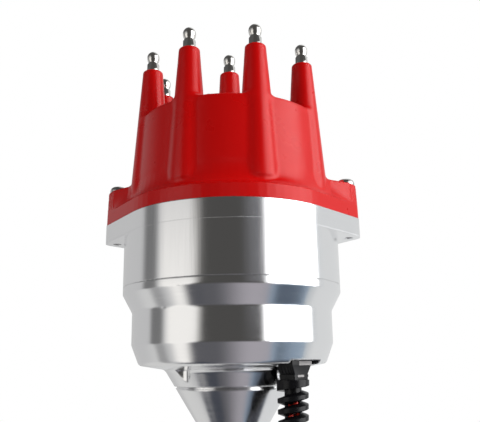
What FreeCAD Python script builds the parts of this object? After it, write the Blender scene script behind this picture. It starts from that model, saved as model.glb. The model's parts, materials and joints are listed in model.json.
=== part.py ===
import FreeCAD, Part
import math
import os
import Sketcher

# Ignition distributor for a V8 engine. Millimetres and degrees, +Z up, axis of rotation on Z.
# The origin is on the axis at the collar's seat face, where the distributor stands on the engine.
# The cap's two ears lie along X.

SIZES = {
    # lower housing, from the seat upwards
    "collar_radius": 24.5,
    "collar_thick": 8.0,
    "neck_radius": 17.3,
    "neck_height": 14.0,
    "cone_height": 28.7,
    "cone_root_inset": 13.2,
    "cone_root_fillet": 3.5,
    "cone_groove_drop": 8.1,
    "cone_groove_width": 1.1,
    "cone_groove_depth": 0.6,
    "under_inset": 3.95,
    "under_rise": 2.2,
    "under_fillet": 3.0,
    "band_edge_round": 0.8,
    "band_root_round": 1.5,
    "rim_round": 1.0,
    "taper_height": 12.3,
    "band_inset": 5.0,
    "band_height": 16.2,
    "shoulder_height": 9.1,
    "rim_height": 3.7,
    "body_radius": 57.15,
    "bowl_wall": 7.65,
    "floor_thick": 11.3,
    "scallop_radius": 5.0,
    "scallop_outset": 1.5,
    "scallop_depth": 10.0,
    "scallop_count": 4,
    "scallop_first_angle": -38.7,
    "edge_break": 0.8,
    # lower housing, from the seat downwards
    "shank_radius": 19.8,
    "shank_length": 24.0,
    "ring_groove_drop": 11.0,
    "ring_groove_width": 3.8,
    "ring_groove_depth": 2.6,
    "barrel_radius": 15.8,
    "barrel_taper": 6.0,
    "barrel_length": 54.0,
    "ring_squeeze": 0.15,
    # bearings and shaft
    "shaft_radius": 6.35,
    "shaft_bore_radius": 7.6,
    "running_gap": 0.04,
    "bushing_wall": 3.0,
    "bushing_length": 26.0,
    "bearing_radius": 14.29,
    "bearing_width": 7.94,
    "race_thick": 2.3,
    "ball_radius": 1.55,
    "ball_count": 8,
    "snap_ring_thick": 1.1,
    "snap_ring_bite": 1.0,
    "snap_ring_width": 2.4,
    "snap_ring_mouth": 4.0,
    "shaft_shoulder_radius": 8.6,
    "shaft_shoulder_height": 5.9,
    "thrust_washer_thick": 1.6,
    "gear_radius": 16.0,
    "gear_hub_radius": 12.6,
    "gear_tooth_depth": 3.4,
    "gear_face": 20.0,
    "gear_hub_height": 8.0,
    "gear_teeth": 13,
    "gear_twist": 38.0,
    "pin_radius": 2.35,
    "pin_inset": 0.5,
    "drive_end_length": 9.0,
    "drive_end_radius": 6.0,
    "drive_tip_inset": 0.4,
    "drive_slot_width": 5.0,
    "drive_slot_depth": 5.5,
    "end_float": 0.3,
    "shaft_rise": 1.6,
    # upper housing
    "upper_height": 36.0,
    "upper_wall": 5.15,
    "inner_flange_thick": 6.0,
    "flange_thick": 10.1,
    "ear_reach": 6.0,
    "ear_tip_radius": 6.1,
    "ear_screw_hole": 2.3,
    "joint_screw_radius": 1.7,
    "joint_screw_head": 2.9,
    "joint_screw_bite": 9.0,
    "joint_screw_count": 4,
    "joint_screw_first_angle": 20.0,
    # cap
    "cap_band_height": 7.5,
    "cap_band_draft": 0.45,
    "cap_lip_depth": 2.0,
    "cap_lip_wall": 3.2,
    "cap_wall": 5.6,
    "contact_wall": 4.8,
    "cap_fit": 0.3,
    "flare_radius": 13.0,
    "wall_inset": 4.95,
    "wall_draft": 2.4,
    "cap_height": 54.7,
    "roof_fillet": 1.6,
    "roof_thick": 4.5,
    "contact_bore_height": 23.0,
    "tower_inset": 12.55,
    "tower_count": 8,
    "tower_first_angle": 22.5,
    "tower_foot_height": 9.5,
    "tower_foot_radius": 10.7,
    "tower_top_height": 86.0,
    "tower_top_radius": 5.35,
    "tower_round": 2.1,
    "centre_tower_height": 90.9,
    "centre_tower_draft": 2.2,
    "centre_boss_radius": 8.0,
    "centre_boss_height": 37.0,
    "ear_boss_radius": 5.9,
    "ear_boss_height": 18.7,
    "gusset_inset": 14.1,
    "gusset_tip_inset": 1.6,
    "ear_web_half_width": 5.2,
    "ear_web_height": 17.6,
    "cap_screw_head_radius": 4.7,
    "cap_screw_head_height": 3.9,
    "cap_screw_radius": 2.2,
    "cap_screw_back": 1.0,
    "head_round_share": 0.6,
    "moulded_fit": 0.05,
    # terminals
    "terminal_shank_radius": 2.6,
    "terminal_head_radius": 3.2,
    "terminal_waist_radius": 2.85,
    "terminal_collar_height": 2.9,
    "terminal_waist_height": 1.8,
    "terminal_head_height": 5.3,
    "terminal_tip_flat": 0.4,
    "contact_foot_height": 12.0,
    "button_radius": 3.0,
    "button_length": 9.0,
    "button_seat": 3.0,
    "button_round": 1.2,
    # advance mechanism
    "sleeve_wall": 3.0,
    "sleeve_gap": 0.3,
    "reluctor_height": 6.0,
    "reluctor_base_height": 6.0,
    "reluctor_hub_radius": 12.5,
    "reluctor_tip_radius": 17.0,
    "reluctor_tooth_width": 3.2,
    "reluctor_root_half": 2.4,
    "advance_plate_height": 98.0,
    "advance_plate_thick": 2.0,
    "plate_gap": 5.5,
    "sleeve_stub_radius": 8.2,
    "weight_lift": 0.4,
    "weight_thick": 3.5,
    "weight_outer_radius": 29.0,
    "weight_pivot_circle": 26.0,
    "weight_pivot_angle": 150.0,
    "weight_boss_radius": 5.5,
    "weight_end": 20.0,
    "weight_pin_radius": 2.5,
    "rivet_head_rise": 1.5,
    "rivet_head_thick": 1.2,
    "cam_end_radius": 8.0,
    "cam_waist_rise": 0.6,
    "cam_reach": 13.0,
    "cam_seat_radius": 5.0,
    "cam_gap": 0.4,
    "clip_thick": 0.9,
    "clip_gap": 0.2,
    "clip_bite": 2.2,
    "clip_groove": 0.9,
    "clip_mouth_share": 0.7,
    "stop_circle": 17.0,
    "stop_pin_radius": 1.6,
    "stop_bushing_radius": 2.9,
    "stop_slot_gap": 0.25,
    "advance_angle": 12.0,
    "spring_post_radius": 1.5,
    "spring_post_inset": 4.5,
    "spring_post_angle": 29.5,
    "post_rise": 1.0,
    "spring_radius": 2.0,
    "spring_wire": 0.35,
    "spring_eye_gap": 0.3,
    "spring_tail": 0.8,
    "spring_level": 3.6,
    # rotor
    "rotor_leg_inset": 5.0,
    "rotor_leg_angle": 2.0,
    "rotor_leg_radius": 4.2,
    "rotor_leg_lean": 1.0,
    "rotor_gap": 1.5,
    "rotor_disc_thick": 4.0,
    "rotor_edge_gap": 7.1,
    "rotor_arm_width": 12.0,
    "rotor_arm_back": 10.0,
    "rotor_arm_inset": 11.6,
    "blade_thick": 1.8,
    "blade_width": 9.0,
    "blade_gap": 1.0,
    "blade_back": 5.0,
    "blade_above_foot": 5.0,
    "contact_base_radius": 3.4,
    "contact_neck_radius": 1.6,
    "contact_base_height": 2.0,
    "button_gap": 0.3,
    "rotor_screw_radius": 1.75,
    "rotor_screw_head": 3.4,
    # pickup and module on the bowl's floor
    "pickup_angle": 62.0,
    "pickup_gap": 0.6,
    "pickup_width": 15.0,
    "pickup_length": 17.0,
    "pickup_height": 16.0,
    "pickup_pole_width": 4.0,
    "pickup_foot_thick": 2.0,
    "pickup_foot_width": 32.0,
    "pickup_foot_length": 11.9,
    "pickup_pole_length": 4.0,
    "module_inner_radius": 22.0,
    "module_gap": 1.5,
    "module_screw_inset": 9.0,
    "module_height": 15.0,
    "module_half_angle": 52.0,
    "small_screw_radius": 1.7,
    "small_screw_head": 3.1,
    "small_screw_head_height": 2.2,
    "small_screw_bite": 6.0,
    # strain relief and lead
    "boot_inset": 8.2,
    "boot_angle": -38.4,
    "boot_hole_radius": 3.8,
    "boot_recess_length": 23.0,
    "boot_recess_depth": 4.1,
    "boot_fit": 0.3,
    "boot_stub": 1.0,
    "boot_tail": 2.0,
    "boot_flange_length": 15.0,
    "boot_flange_width": 10.0,
    "boot_flange_rise": 1.6,
    "boot_neck_length": 12.4,
    "boot_neck_width": 9.4,
    "boot_neck_drop": 5.1,
    "boot_collar_radius": 7.7,
    "boot_collar_height": 4.1,
    "boot_core_radius": 4.05,
    "flight_radius": 7.25,
    "flight_pitch": 5.0,
    "flight_tip": 2.3,
    "flight_flank": 1.2,
    "flight_count": 6,
    "lead_radius": 3.2,
    "plug_length": 34.0,
    "plug_width": 25.0,
    "plug_depth": 12.0,
}

doc = FreeCAD.newDocument("IgnitionDistributor")
sheet = doc.addObject("Spreadsheet::Sheet", "Sizes")
for row, (alias, number) in enumerate(SIZES.items(), start=1):
    sheet.set(f"A{row}", alias)
    sheet.set(f"B{row}", str(number))
    sheet.setAlias(f"B{row}", alias)
doc.recompute()


class Size:
    """A length that keeps its value and the expression that ties it to the sheet."""

    def __init__(self, value, text):
        self.value = value
        self.text = text

    def joined(self, sign, other, value):
        return Size(value, f"({self.text} {sign} {as_size(other).text})")

    def __add__(self, other):
        return self.joined("+", other, self.value + as_size(other).value)

    def __sub__(self, other):
        return self.joined("-", other, self.value - as_size(other).value)

    def __mul__(self, other):
        return self.joined("*", other, self.value * as_size(other).value)

    def __truediv__(self, other):
        return self.joined("/", other, self.value / as_size(other).value)

    def __rsub__(self, other):
        return as_size(other) - self

    def __neg__(self):
        return Size(-self.value, f"(-1 * {self.text})")

    def __float__(self):
        return float(self.value)

    __radd__ = __add__
    __rmul__ = __mul__


def as_size(value):
    return value if isinstance(value, Size) else Size(value, repr(value))


def size(alias):
    return Size(float(sheet.get(alias)), f"Sizes.{alias}")


def cos_of(angle):
    return Size(math.cos(math.radians(float(angle))), f"cos({as_size(angle).text} * 1 deg)")


def sin_of(angle):
    return Size(math.sin(math.radians(float(angle))), f"sin({as_size(angle).text} * 1 deg)")


def bind(thing, prop, value):
    """Give a property its value and tie it to the sheet."""
    thing.setExpression(prop, as_size(value).text)


# Heights worked out from the stack of sizes
cone_foot_z = size("collar_thick") + size("neck_height")
under_z = cone_foot_z + size("cone_height")
band_low_z = under_z + size("taper_height")
band_top_z = band_low_z + size("band_height")
rim_low_z = band_top_z + size("shoulder_height")
seam_z = rim_low_z + size("rim_height")
cap_z = seam_z + size("upper_height")
inner_flange_z = seam_z + size("inner_flange_thick")
floor_z = under_z + size("floor_thick")
taper_low_z = -(size("shank_length") + size("barrel_taper"))
barrel_end_z = taper_low_z - size("barrel_length")
snap_top_z = floor_z - size("snap_ring_bite")
snap_low_z = snap_top_z - size("snap_ring_thick") - size("clip_gap")
bearing_top_z = snap_low_z
bearing_low_z = bearing_top_z - size("bearing_width")
sleeve_low_z = bearing_top_z + size("shaft_shoulder_height") + size("sleeve_gap") * 2
plate_low_z = size("advance_plate_height")
plate_top_z = plate_low_z + size("advance_plate_thick")
weight_low_z = plate_top_z + size("weight_lift")
weight_top_z = weight_low_z + size("weight_thick")
clip_low_z = weight_top_z + size("clip_gap")
clip_top_z = clip_low_z + size("clip_thick")
spring_z = weight_top_z + size("spring_level")
post_top_z = spring_z + size("spring_radius") + size("post_rise")
rotor_disc_z = post_top_z + size("rotor_gap")
rotor_top_z = rotor_disc_z + size("rotor_disc_thick")
arm_top_z = cap_z + size("contact_foot_height") + size("blade_above_foot")
blade_top_z = arm_top_z + size("blade_thick")
washer_top_z = barrel_end_z - size("end_float")
gear_top_z = washer_top_z - size("thrust_washer_thick") - size("end_float")
gear_low_z = gear_top_z - size("gear_face") - size("gear_hub_height")
shaft_end_z = gear_low_z - size("drive_end_length")
shaft_top_z = clip_top_z + size("shaft_rise")
tower_top_z = cap_z + size("tower_top_height")
centre_top_z = cap_z + size("centre_tower_height")
button_low_z = cap_z + size("centre_boss_height") + size("button_seat") - size("button_length")

# Radii worked out from the body's radius, outermost first
ear_screw_radius = size("body_radius") + size("ear_reach")
upper_bore_radius = size("body_radius") - size("upper_wall")
wall_foot_radius = size("body_radius") - size("wall_inset")
wall_top_radius = wall_foot_radius - size("wall_draft")
contact_bore_radius = wall_foot_radius - size("contact_wall")
cap_bore_radius = wall_foot_radius - size("cap_wall")
tower_circle = size("body_radius") - size("tower_inset")
band_radius = size("body_radius") - size("band_inset")
bowl_radius = band_radius - size("bowl_wall")
joint_screw_circle = (bowl_radius + upper_bore_radius) / 2
under_radius = band_radius - size("under_inset")
boot_circle = under_radius - size("boot_inset")
cone_root_radius = under_radius - size("cone_root_inset")
scallop_circle = cone_root_radius + size("scallop_outset")
module_outer_radius = bowl_radius - size("module_gap")
advance_plate_radius = bowl_radius - size("plate_gap")
rotor_leg_circle = advance_plate_radius - size("rotor_leg_inset")
spring_post_circle = advance_plate_radius - size("spring_post_inset")
rotor_disc_radius = tower_circle - size("rotor_edge_gap")
rotor_arm_reach = tower_circle - size("rotor_arm_inset")
blade_reach = tower_circle - size("terminal_shank_radius") - size("blade_gap")
clip_seat_radius = size("cam_seat_radius") - size("clip_groove")

# How far a cut runs past the face it opens, and how deep a joined feature starts inside its neighbour
OVER = 1.0

# Share of the shorter run that each arc of the lead takes at a corner
ARC_SHARE = 0.45


# Shared operations
def new_body(label):
    body = doc.addObject("PartDesign::Body", label)
    body.Label = label
    return body


def plane(body, role):
    return next(item for item in body.Origin.OriginFeatures if item.Role == role)


def new_sketch(body, name, role, height):
    sketch = body.newObject("Sketcher::SketchObject", name)
    sketch.AttachmentSupport = (plane(body, role), [""])
    sketch.MapMode = "FlatFace"
    if height is not None:
        bind(sketch, ".AttachmentOffset.Base.z", height)
    return sketch


def hold_point(sketch, geometry, end, point):
    """Tie one point of a sketch to its place from the origin."""
    for kind, value in (("DistanceX", as_size(point[0])), ("DistanceY", as_size(point[1]))):
        index = sketch.addConstraint(Sketcher.Constraint(kind, -1, 1, geometry, end, float(value)))
        bind(sketch, f"Constraints[{index}]", value)


def polygon(body, name, points, role="XZ_Plane", height=None):
    """A closed outline through points, each one tied to the sheet."""
    sketch = new_sketch(body, name, role, height)
    corners = [FreeCAD.Vector(float(x), float(y), 0) for x, y in points]
    count = len(corners)
    for index in range(count):
        sketch.addGeometry(Part.LineSegment(corners[index], corners[(index + 1) % count]), False)
    for index in range(count):
        sketch.addConstraint(Sketcher.Constraint("Coincident", index, 2, (index + 1) % count, 1))
    for index, point in enumerate(points):
        hold_point(sketch, index, 1, point)
    return sketch


def circles(body, name, rings, height, role="XY_Plane"):
    """Circles given as x, y and radius, each tied to the sheet."""
    sketch = new_sketch(body, name, role, height)
    for index, (x, y, radius) in enumerate(rings):
        centre = FreeCAD.Vector(float(x), float(y), 0)
        sketch.addGeometry(Part.Circle(centre, FreeCAD.Vector(0, 0, 1), float(radius)), False)
        held = sketch.addConstraint(Sketcher.Constraint("Radius", index, float(radius)))
        bind(sketch, f"Constraints[{held}]", radius)
        hold_point(sketch, index, 3, (x, y))
    return sketch


def turn(body, name, points, kind="PartDesign::Revolution"):
    """Revolve an outline of radius and height about the axis, as added or cut material."""
    sketch = polygon(body, name + "_outline", points)
    feature = body.newObject(kind, name)
    feature.Profile = sketch
    feature.ReferenceAxis = (sketch, ["V_Axis"])
    feature.Angle = 360
    return feature


def groove(body, name, points):
    return turn(body, name, points, "PartDesign::Groove")


def ring_points(inner, outer, low, high):
    return [(inner, low), (outer, low), (outer, high), (inner, high)]


def pad(body, name, sketch, length, downward=False):
    feature = body.newObject("PartDesign::Pad", name)
    feature.Profile = sketch
    bind(feature, "Length", length)
    feature.Reversed = downward
    return feature


def pocket(body, name, sketch, length, upward=False):
    """Cut down from the sketch, or up when asked."""
    feature = body.newObject("PartDesign::Pocket", name)
    feature.Profile = sketch
    bind(feature, "Length", length)
    feature.Reversed = upward
    return feature


def around(body, name, features, count):
    """Repeat features evenly round the axis."""
    pattern = body.newObject("PartDesign::PolarPattern", name)
    pattern.Originals = features
    pattern.Axis = (plane(body, "Z_Axis"), [""])
    pattern.Angle = 360
    if isinstance(count, Size):
        bind(pattern, "Occurrences", count)
    else:
        pattern.Occurrences = count
    body.Tip = pattern
    return pattern


def is_circle(edge, radius, height):
    curve = edge.Curve
    if curve.TypeId != "Part::GeomCircle":
        return False
    return abs(curve.Radius - radius) < 0.02 and abs(curve.Center.z - height) < 0.02


def soften(body, name, rings, radius, kind="PartDesign::Fillet"):
    """Round or chamfer the circular edges with the given radii and heights."""
    doc.recompute()
    base = body.Tip
    names = []
    for index, edge in enumerate(base.Shape.Edges, start=1):
        if any(is_circle(edge, float(ring), float(height)) for ring, height in rings):
            names.append(f"Edge{index}")
    feature = body.newObject(kind, name)
    feature.Base = (base, names)
    bind(feature, "Radius" if kind.endswith("Fillet") else "Size", radius)
    return feature


def polar(radius, angle):
    """X and Y of a point given by its distance from the axis and its bearing from +X."""
    return radius * cos_of(angle), radius * sin_of(angle)


def hull_outline(body, name, height, main_radius, tip_place, tip_radius):
    """A round outline with two ears on X: arcs joined by lines that are tangent to both."""
    sketch = new_sketch(body, name, "XY_Plane", height)
    main, reach, tip = float(main_radius), float(tip_place), float(tip_radius)
    lean = math.acos((main - tip) / reach)
    up = FreeCAD.Vector(0, 0, 1)

    def corner(centre_x, radius, angle):
        return FreeCAD.Vector(centre_x + radius * math.cos(angle), radius * math.sin(angle), 0)

    def arc(centre_x, radius, start, end):
        return Part.ArcOfCircle(Part.Circle(FreeCAD.Vector(centre_x, 0, 0), up, radius), start, end)

    sketch.addGeometry([
        arc(reach, tip, -lean, lean),
        Part.LineSegment(corner(reach, tip, lean), corner(0, main, lean)),
        arc(0, main, lean, math.pi - lean),
        Part.LineSegment(corner(0, main, math.pi - lean), corner(-reach, tip, math.pi - lean)),
        arc(-reach, tip, math.pi - lean, math.pi + lean),
        Part.LineSegment(corner(-reach, tip, math.pi + lean), corner(0, main, math.pi + lean)),
        arc(0, main, math.pi + lean, 2 * math.pi - lean),
        Part.LineSegment(corner(0, main, -lean), corner(reach, tip, -lean)),
    ], False)
    for index in range(8):
        sketch.addConstraint(Sketcher.Constraint("Tangent", index, 2, (index + 1) % 8, 1))
    for index, place in ((0, tip_place), (4, -tip_place)):
        hold_point(sketch, index, 3, (place, 0))
    for index in (2, 6):
        sketch.addConstraint(Sketcher.Constraint("Coincident", index, 3, -1, 1))
    for index, radius in ((0, tip_radius), (4, tip_radius), (2, main_radius), (6, main_radius)):
        held = sketch.addConstraint(Sketcher.Constraint("Radius", index, float(radius)))
        bind(sketch, f"Constraints[{held}]", radius)
    return sketch


def group(label, master, places):
    """Copies of a master piece, each at its own placement, as one node of separate solids."""
    doc.recompute()
    copies = []
    for place in places:
        copy = master.Shape.copy()
        copy.Placement = place.multiply(copy.Placement)
        copies.append(copy)
    feature = doc.addObject("Part::Feature", label)
    feature.Label = label
    feature.Shape = Part.makeCompound(copies)
    feature.Placement = FreeCAD.Placement()
    return feature


def shifted(x, y, z, turned=0.0):
    rotation = FreeCAD.Rotation(FreeCAD.Vector(0, 0, 1), turned)
    return FreeCAD.Placement(FreeCAD.Vector(float(x), float(y), float(z)), rotation)


def lower_housing():
    """Machined bowl, cone, collar, shank and barrel in one piece."""
    body = new_body("lower_housing")
    slope = (cone_root_radius - size("neck_radius")) / size("cone_height")
    under_edge_z = under_z + size("under_rise")
    turn(body, "blank", [
        (0, barrel_end_z),
        (size("barrel_radius"), barrel_end_z),
        (size("barrel_radius"), taper_low_z),
        (size("shank_radius"), -size("shank_length")),
        (size("shank_radius"), 0),
        (size("collar_radius"), 0),
        (size("collar_radius"), size("collar_thick")),
        (size("neck_radius"), size("collar_thick")),
        (size("neck_radius"), cone_foot_z),
        (cone_root_radius, under_z),
        (under_radius, under_edge_z),
        (band_radius, band_low_z),
        (band_radius, band_top_z),
        (size("body_radius"), rim_low_z),
        (size("body_radius"), seam_z),
        (0, seam_z),
    ])
    soften(body, "under_edge", [(under_radius, under_edge_z)], size("under_fillet"))
    soften(body, "cone_root", [(cone_root_radius, under_z)], size("cone_root_fillet"))
    soften(body, "rim_edge", [(size("body_radius"), rim_low_z)], size("rim_round"))
    soften(body, "band_root", [(band_radius, band_top_z)], size("band_root_round"))
    soften(body, "band_edge", [(band_radius, band_low_z)], size("band_edge_round"))
    soften(body, "collar_edges", [(size("collar_radius"), size("collar_thick"))],
           size("edge_break"), "PartDesign::Chamfer")
    soften(body, "barrel_edge", [(size("barrel_radius"), barrel_end_z)], size("edge_break"),
           "PartDesign::Chamfer")
    groove(body, "bowl", ring_points(0, bowl_radius, floor_z, seam_z + OVER))
    seat_radius = size("bearing_radius") + size("running_gap")
    groove(body, "bearing_seat", ring_points(0, seat_radius, bearing_low_z, floor_z + OVER))
    groove(body, "snap_groove", ring_points(
        0, seat_radius + size("snap_ring_bite"), snap_low_z, snap_top_z))
    groove(body, "shaft_bore", ring_points(
        0, size("shaft_bore_radius"), barrel_end_z - OVER, bearing_low_z + OVER))
    bushing_seat = size("shaft_radius") + size("bushing_wall") + size("moulded_fit")
    groove(body, "bushing_seat",
           ring_points(0, bushing_seat, barrel_end_z - OVER, barrel_end_z + size("bushing_length")))
    ring_top = -size("ring_groove_drop")
    groove(body, "ring_groove", ring_points(
        size("shank_radius") - size("ring_groove_depth"), size("shank_radius") + OVER,
        ring_top - size("ring_groove_width"), ring_top))
    mark_high = under_z - size("cone_groove_drop")
    mark_low = mark_high - size("cone_groove_width")
    mark_radius = cone_root_radius - slope * (under_z - mark_high)
    groove(body, "cone_groove", ring_points(
        mark_radius - size("cone_groove_depth") - slope * size("cone_groove_width"),
        mark_radius + OVER, mark_low, mark_high))
    scallop_x, scallop_y = polar(scallop_circle, size("scallop_first_angle"))
    scallop = pocket(body, "scallop", circles(
        body, "scallop_circle_sketch", [(scallop_x, scallop_y, size("scallop_radius"))], under_z),
        size("scallop_depth"))
    around(body, "scallops", [scallop], size("scallop_count"))
    joint_x, joint_y = polar(joint_screw_circle, size("joint_screw_first_angle"))
    tapped = pocket(body, "joint_hole", circles(
        body, "joint_hole_sketch", [(joint_x, joint_y, size("joint_screw_radius") + size("moulded_fit"))],
        seam_z), size("joint_screw_bite") + OVER)
    around(body, "joint_holes", [tapped], size("joint_screw_count"))
    boot_x, boot_y = polar(boot_circle, size("boot_angle"))
    pocket(body, "boot_hole", circles(
        body, "boot_hole_sketch", [(boot_x, boot_y, size("boot_hole_radius"))], floor_z + OVER),
        size("floor_thick") + OVER * 2)
    recess_inner = boot_circle - size("boot_flange_width") / 2 - size("boot_fit")
    recess_outer = band_radius + OVER
    pocket(body, "boot_recess", slab_outline(
        body, "boot_recess_sketch", (recess_inner + recess_outer) / 2, size("boot_angle"),
        recess_outer - recess_inner, size("boot_recess_length"), under_z - OVER),
        size("boot_recess_depth") + OVER, upward=True)
    for index, (x, y) in enumerate(module_screw_places() + pickup_screw_places()):
        pocket(body, f"floor_hole_{index}", circles(
            body, f"floor_hole_sketch_{index}",
            [(x, y, size("small_screw_radius") + size("moulded_fit"))], floor_z),
            size("small_screw_bite") + OVER)
    return body


def slab_outline(body, name, circle, angle, width, length, height):
    """A rectangle square to a radius: width along the radius, length across it."""
    corners = []
    for along, across in ((-0.5, -0.5), (0.5, -0.5), (0.5, 0.5), (-0.5, 0.5)):
        radius = circle + width * along
        offset = length * across
        corners.append((radius * cos_of(angle) - offset * sin_of(angle),
                        radius * sin_of(angle) + offset * cos_of(angle)))
    return polygon(body, name, corners, "XY_Plane", height)


def module_screw_places():
    mid = (size("module_inner_radius") + module_outer_radius) / 2
    lean = size("module_half_angle") - size("module_screw_inset")
    return [polar(mid, 180 - lean), polar(mid, 180 + lean)]


def pickup_middle():
    """Distance of the pickup's middle from the axis."""
    near = size("reluctor_tip_radius") + size("pickup_gap") + size("pickup_pole_length") / 2
    return near + size("pickup_length") / 2


def pickup_screw_places():
    reach = pickup_middle()
    offset = (size("pickup_foot_width") + size("pickup_width")) / 4
    angle = size("pickup_angle")
    places = []
    for side in (-1, 1):
        places.append((reach * cos_of(angle) - offset * side * sin_of(angle),
                       reach * sin_of(angle) + offset * side * cos_of(angle)))
    return places


def upper_housing():
    """Machined ring between the bowl and the cap, with two ears for the cap screws."""
    body = new_body("upper_housing")
    turn(body, "ring", ring_points(bowl_radius, size("body_radius"), seam_z, cap_z))
    pad(body, "ears", hull_outline(body, "ear_outline", cap_z, size("body_radius"),
                                   ear_screw_radius, size("ear_tip_radius")),
        size("flange_thick"), downward=True)
    groove(body, "bore", ring_points(0, upper_bore_radius, inner_flange_z, cap_z + OVER))
    groove(body, "throat", ring_points(0, bowl_radius, seam_z - OVER, cap_z))
    holes = circles(body, "ear_holes_sketch", [
        (ear_screw_radius, 0, size("ear_screw_hole")),
        (-ear_screw_radius, 0, size("ear_screw_hole"))], cap_z)
    pocket(body, "ear_holes", holes, size("flange_thick") + OVER)
    joint_x, joint_y = polar(joint_screw_circle, size("joint_screw_first_angle"))
    hole = pocket(body, "joint_hole", circles(
        body, "joint_hole_sketch", [(joint_x, joint_y, size("joint_screw_radius") + size("moulded_fit"))],
        inner_flange_z), size("inner_flange_thick") + OVER)
    around(body, "joint_holes", [hole], size("joint_screw_count"))
    return body


def flare_points():
    """The concave shoulder between the cap's wall and its band, as a short run of points."""
    band_top = cap_z + size("cap_band_height")
    edge_radius = size("body_radius") - size("cap_band_draft")
    run = edge_radius - wall_foot_radius
    rise = size("flare_radius")
    step_count = 4
    points = []
    for step in range(step_count + 1):
        turned = math.radians(90 * step / step_count)
        points.append((edge_radius - run * round(math.sin(turned), 4),
                       band_top + rise * round(1 - math.cos(turned), 4)))
    return points


def distributor_cap():
    """Moulded cap with eight ribbed towers, a centre tower and two screw ears."""
    body = new_body("distributor_cap")
    roof_z = cap_z + size("cap_height")
    turn(body, "wall", [(0, cap_z), (size("body_radius"), cap_z)] + flare_points() + [
        (wall_top_radius, roof_z),
        (0, roof_z),
    ])
    soften(body, "roof_edge", [(wall_top_radius, roof_z)], size("roof_fillet"))
    band_top = cap_z + size("cap_band_height")
    tip_draft = size("ear_tip_radius") - size("cap_band_draft")
    pad(body, "ear_flange", hull_outline(
        body, "ear_flange_outline", cap_z, size("body_radius") - size("cap_band_draft"),
        ear_screw_radius, tip_draft), size("cap_band_height"))
    gusset = body.newObject("PartDesign::AdditiveLoft", "ear_gusset")
    gusset.Profile = hull_outline(body, "gusset_low", band_top - OVER, size("body_radius") - OVER,
                                  ear_screw_radius, tip_draft - size("cap_fit"))
    gusset.Sections = [hull_outline(body, "gusset_high", cap_z + size("ear_boss_height") + OVER,
                                    cap_bore_radius, ear_screw_radius - size("gusset_inset"),
                                    size("ear_tip_radius") - size("gusset_tip_inset"))]
    gusset.Ruled = True
    boss = body.newObject("PartDesign::AdditiveCone", "ear_boss")
    place_primitive(body, boss, ear_screw_radius, 0, cap_z + OVER)
    bind(boss, "Radius1", size("ear_boss_radius"))
    bind(boss, "Radius2", size("ear_boss_radius") - size("cap_band_draft"))
    bind(boss, "Height", size("ear_boss_height") - OVER)
    web_half = size("ear_web_half_width")
    web_root = cap_bore_radius + OVER
    web = pad(body, "ear_web", polygon(body, "ear_web_sketch", [
        (web_root, -web_half), (ear_screw_radius, -web_half), (ear_screw_radius, web_half),
        (web_root, web_half)], "XY_Plane", cap_z + OVER), size("ear_web_height"))
    around(body, "ear_bosses", [boss, web], 2)
    tower = body.newObject("PartDesign::AdditiveCone", "tower")
    tower_x, tower_y = polar(tower_circle, size("tower_first_angle"))
    place_primitive(body, tower, tower_x, tower_y, cap_z + size("tower_foot_height"))
    bind(tower, "Radius1", size("tower_foot_radius"))
    bind(tower, "Radius2", size("tower_top_radius"))
    bind(tower, "Height", size("tower_top_height") - size("tower_foot_height"))
    around(body, "towers", [tower], size("tower_count"))
    centre = body.newObject("PartDesign::AdditiveCone", "centre_tower")
    place_primitive(body, centre, 0, 0, roof_z - OVER)
    bind(centre, "Radius1", size("tower_top_radius") + size("centre_tower_draft"))
    bind(centre, "Radius2", size("tower_top_radius"))
    bind(centre, "Height", size("centre_tower_height") - size("cap_height") + OVER)
    soften(body, "tower_rounds", [(size("tower_top_radius"), tower_top_z),
                                  (size("tower_top_radius"), centre_top_z)], size("tower_round"))
    groove(body, "contact_bore", ring_points(
        0, contact_bore_radius, cap_z - OVER, cap_z + size("contact_bore_height")))
    ceiling_z = roof_z - size("roof_thick")
    cavity_low_z = cap_z + size("contact_bore_height") - OVER
    boss_low_z = cap_z + size("centre_boss_height")
    groove(body, "cavity", ring_points(
        size("centre_boss_radius"), tower_circle - size("tower_foot_radius"), cavity_low_z, ceiling_z))
    groove(body, "boss_foot", ring_points(0, size("centre_boss_radius") + OVER, cavity_low_z, boss_low_z))
    lip = upper_bore_radius - size("cap_fit")
    turn(body, "lip", ring_points(
        lip - size("cap_lip_wall"), lip, cap_z - size("cap_lip_depth"), cap_z + OVER))
    bore = size("terminal_shank_radius") + size("moulded_fit")
    hole = pocket(body, "terminal_bore", circles(
        body, "terminal_bore_sketch", [(tower_x, tower_y, bore)], tower_top_z + OVER),
        size("tower_top_height"))
    around(body, "terminal_bores", [hole], size("tower_count"))
    pocket(body, "centre_bore", circles(body, "centre_bore_sketch", [(0, 0, bore)], centre_top_z + OVER),
           size("centre_tower_height"))
    groove(body, "button_bore", ring_points(
        0, size("button_radius") + size("moulded_fit") * 2, boss_low_z - OVER,
        boss_low_z + size("button_seat") + size("moulded_fit") * 2))
    screws = circles(body, "cap_screw_holes_sketch", [
        (ear_screw_radius, 0, size("ear_screw_hole")),
        (-ear_screw_radius, 0, size("ear_screw_hole"))], cap_z - OVER)
    pocket(body, "cap_screw_holes", screws, size("ear_boss_height") + OVER * 2, upward=True)
    return body


def place_primitive(body, feature, x, y, z):
    """Stand a primitive on the body's ground plane, moved to its place."""
    feature.AttachmentSupport = (plane(body, "XY_Plane"), [""])
    feature.MapMode = "FlatFace"
    for axis, value in (("x", x), ("y", y), ("z", z)):
        bind(feature, f".AttachmentOffset.Base.{axis}", value)


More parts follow.
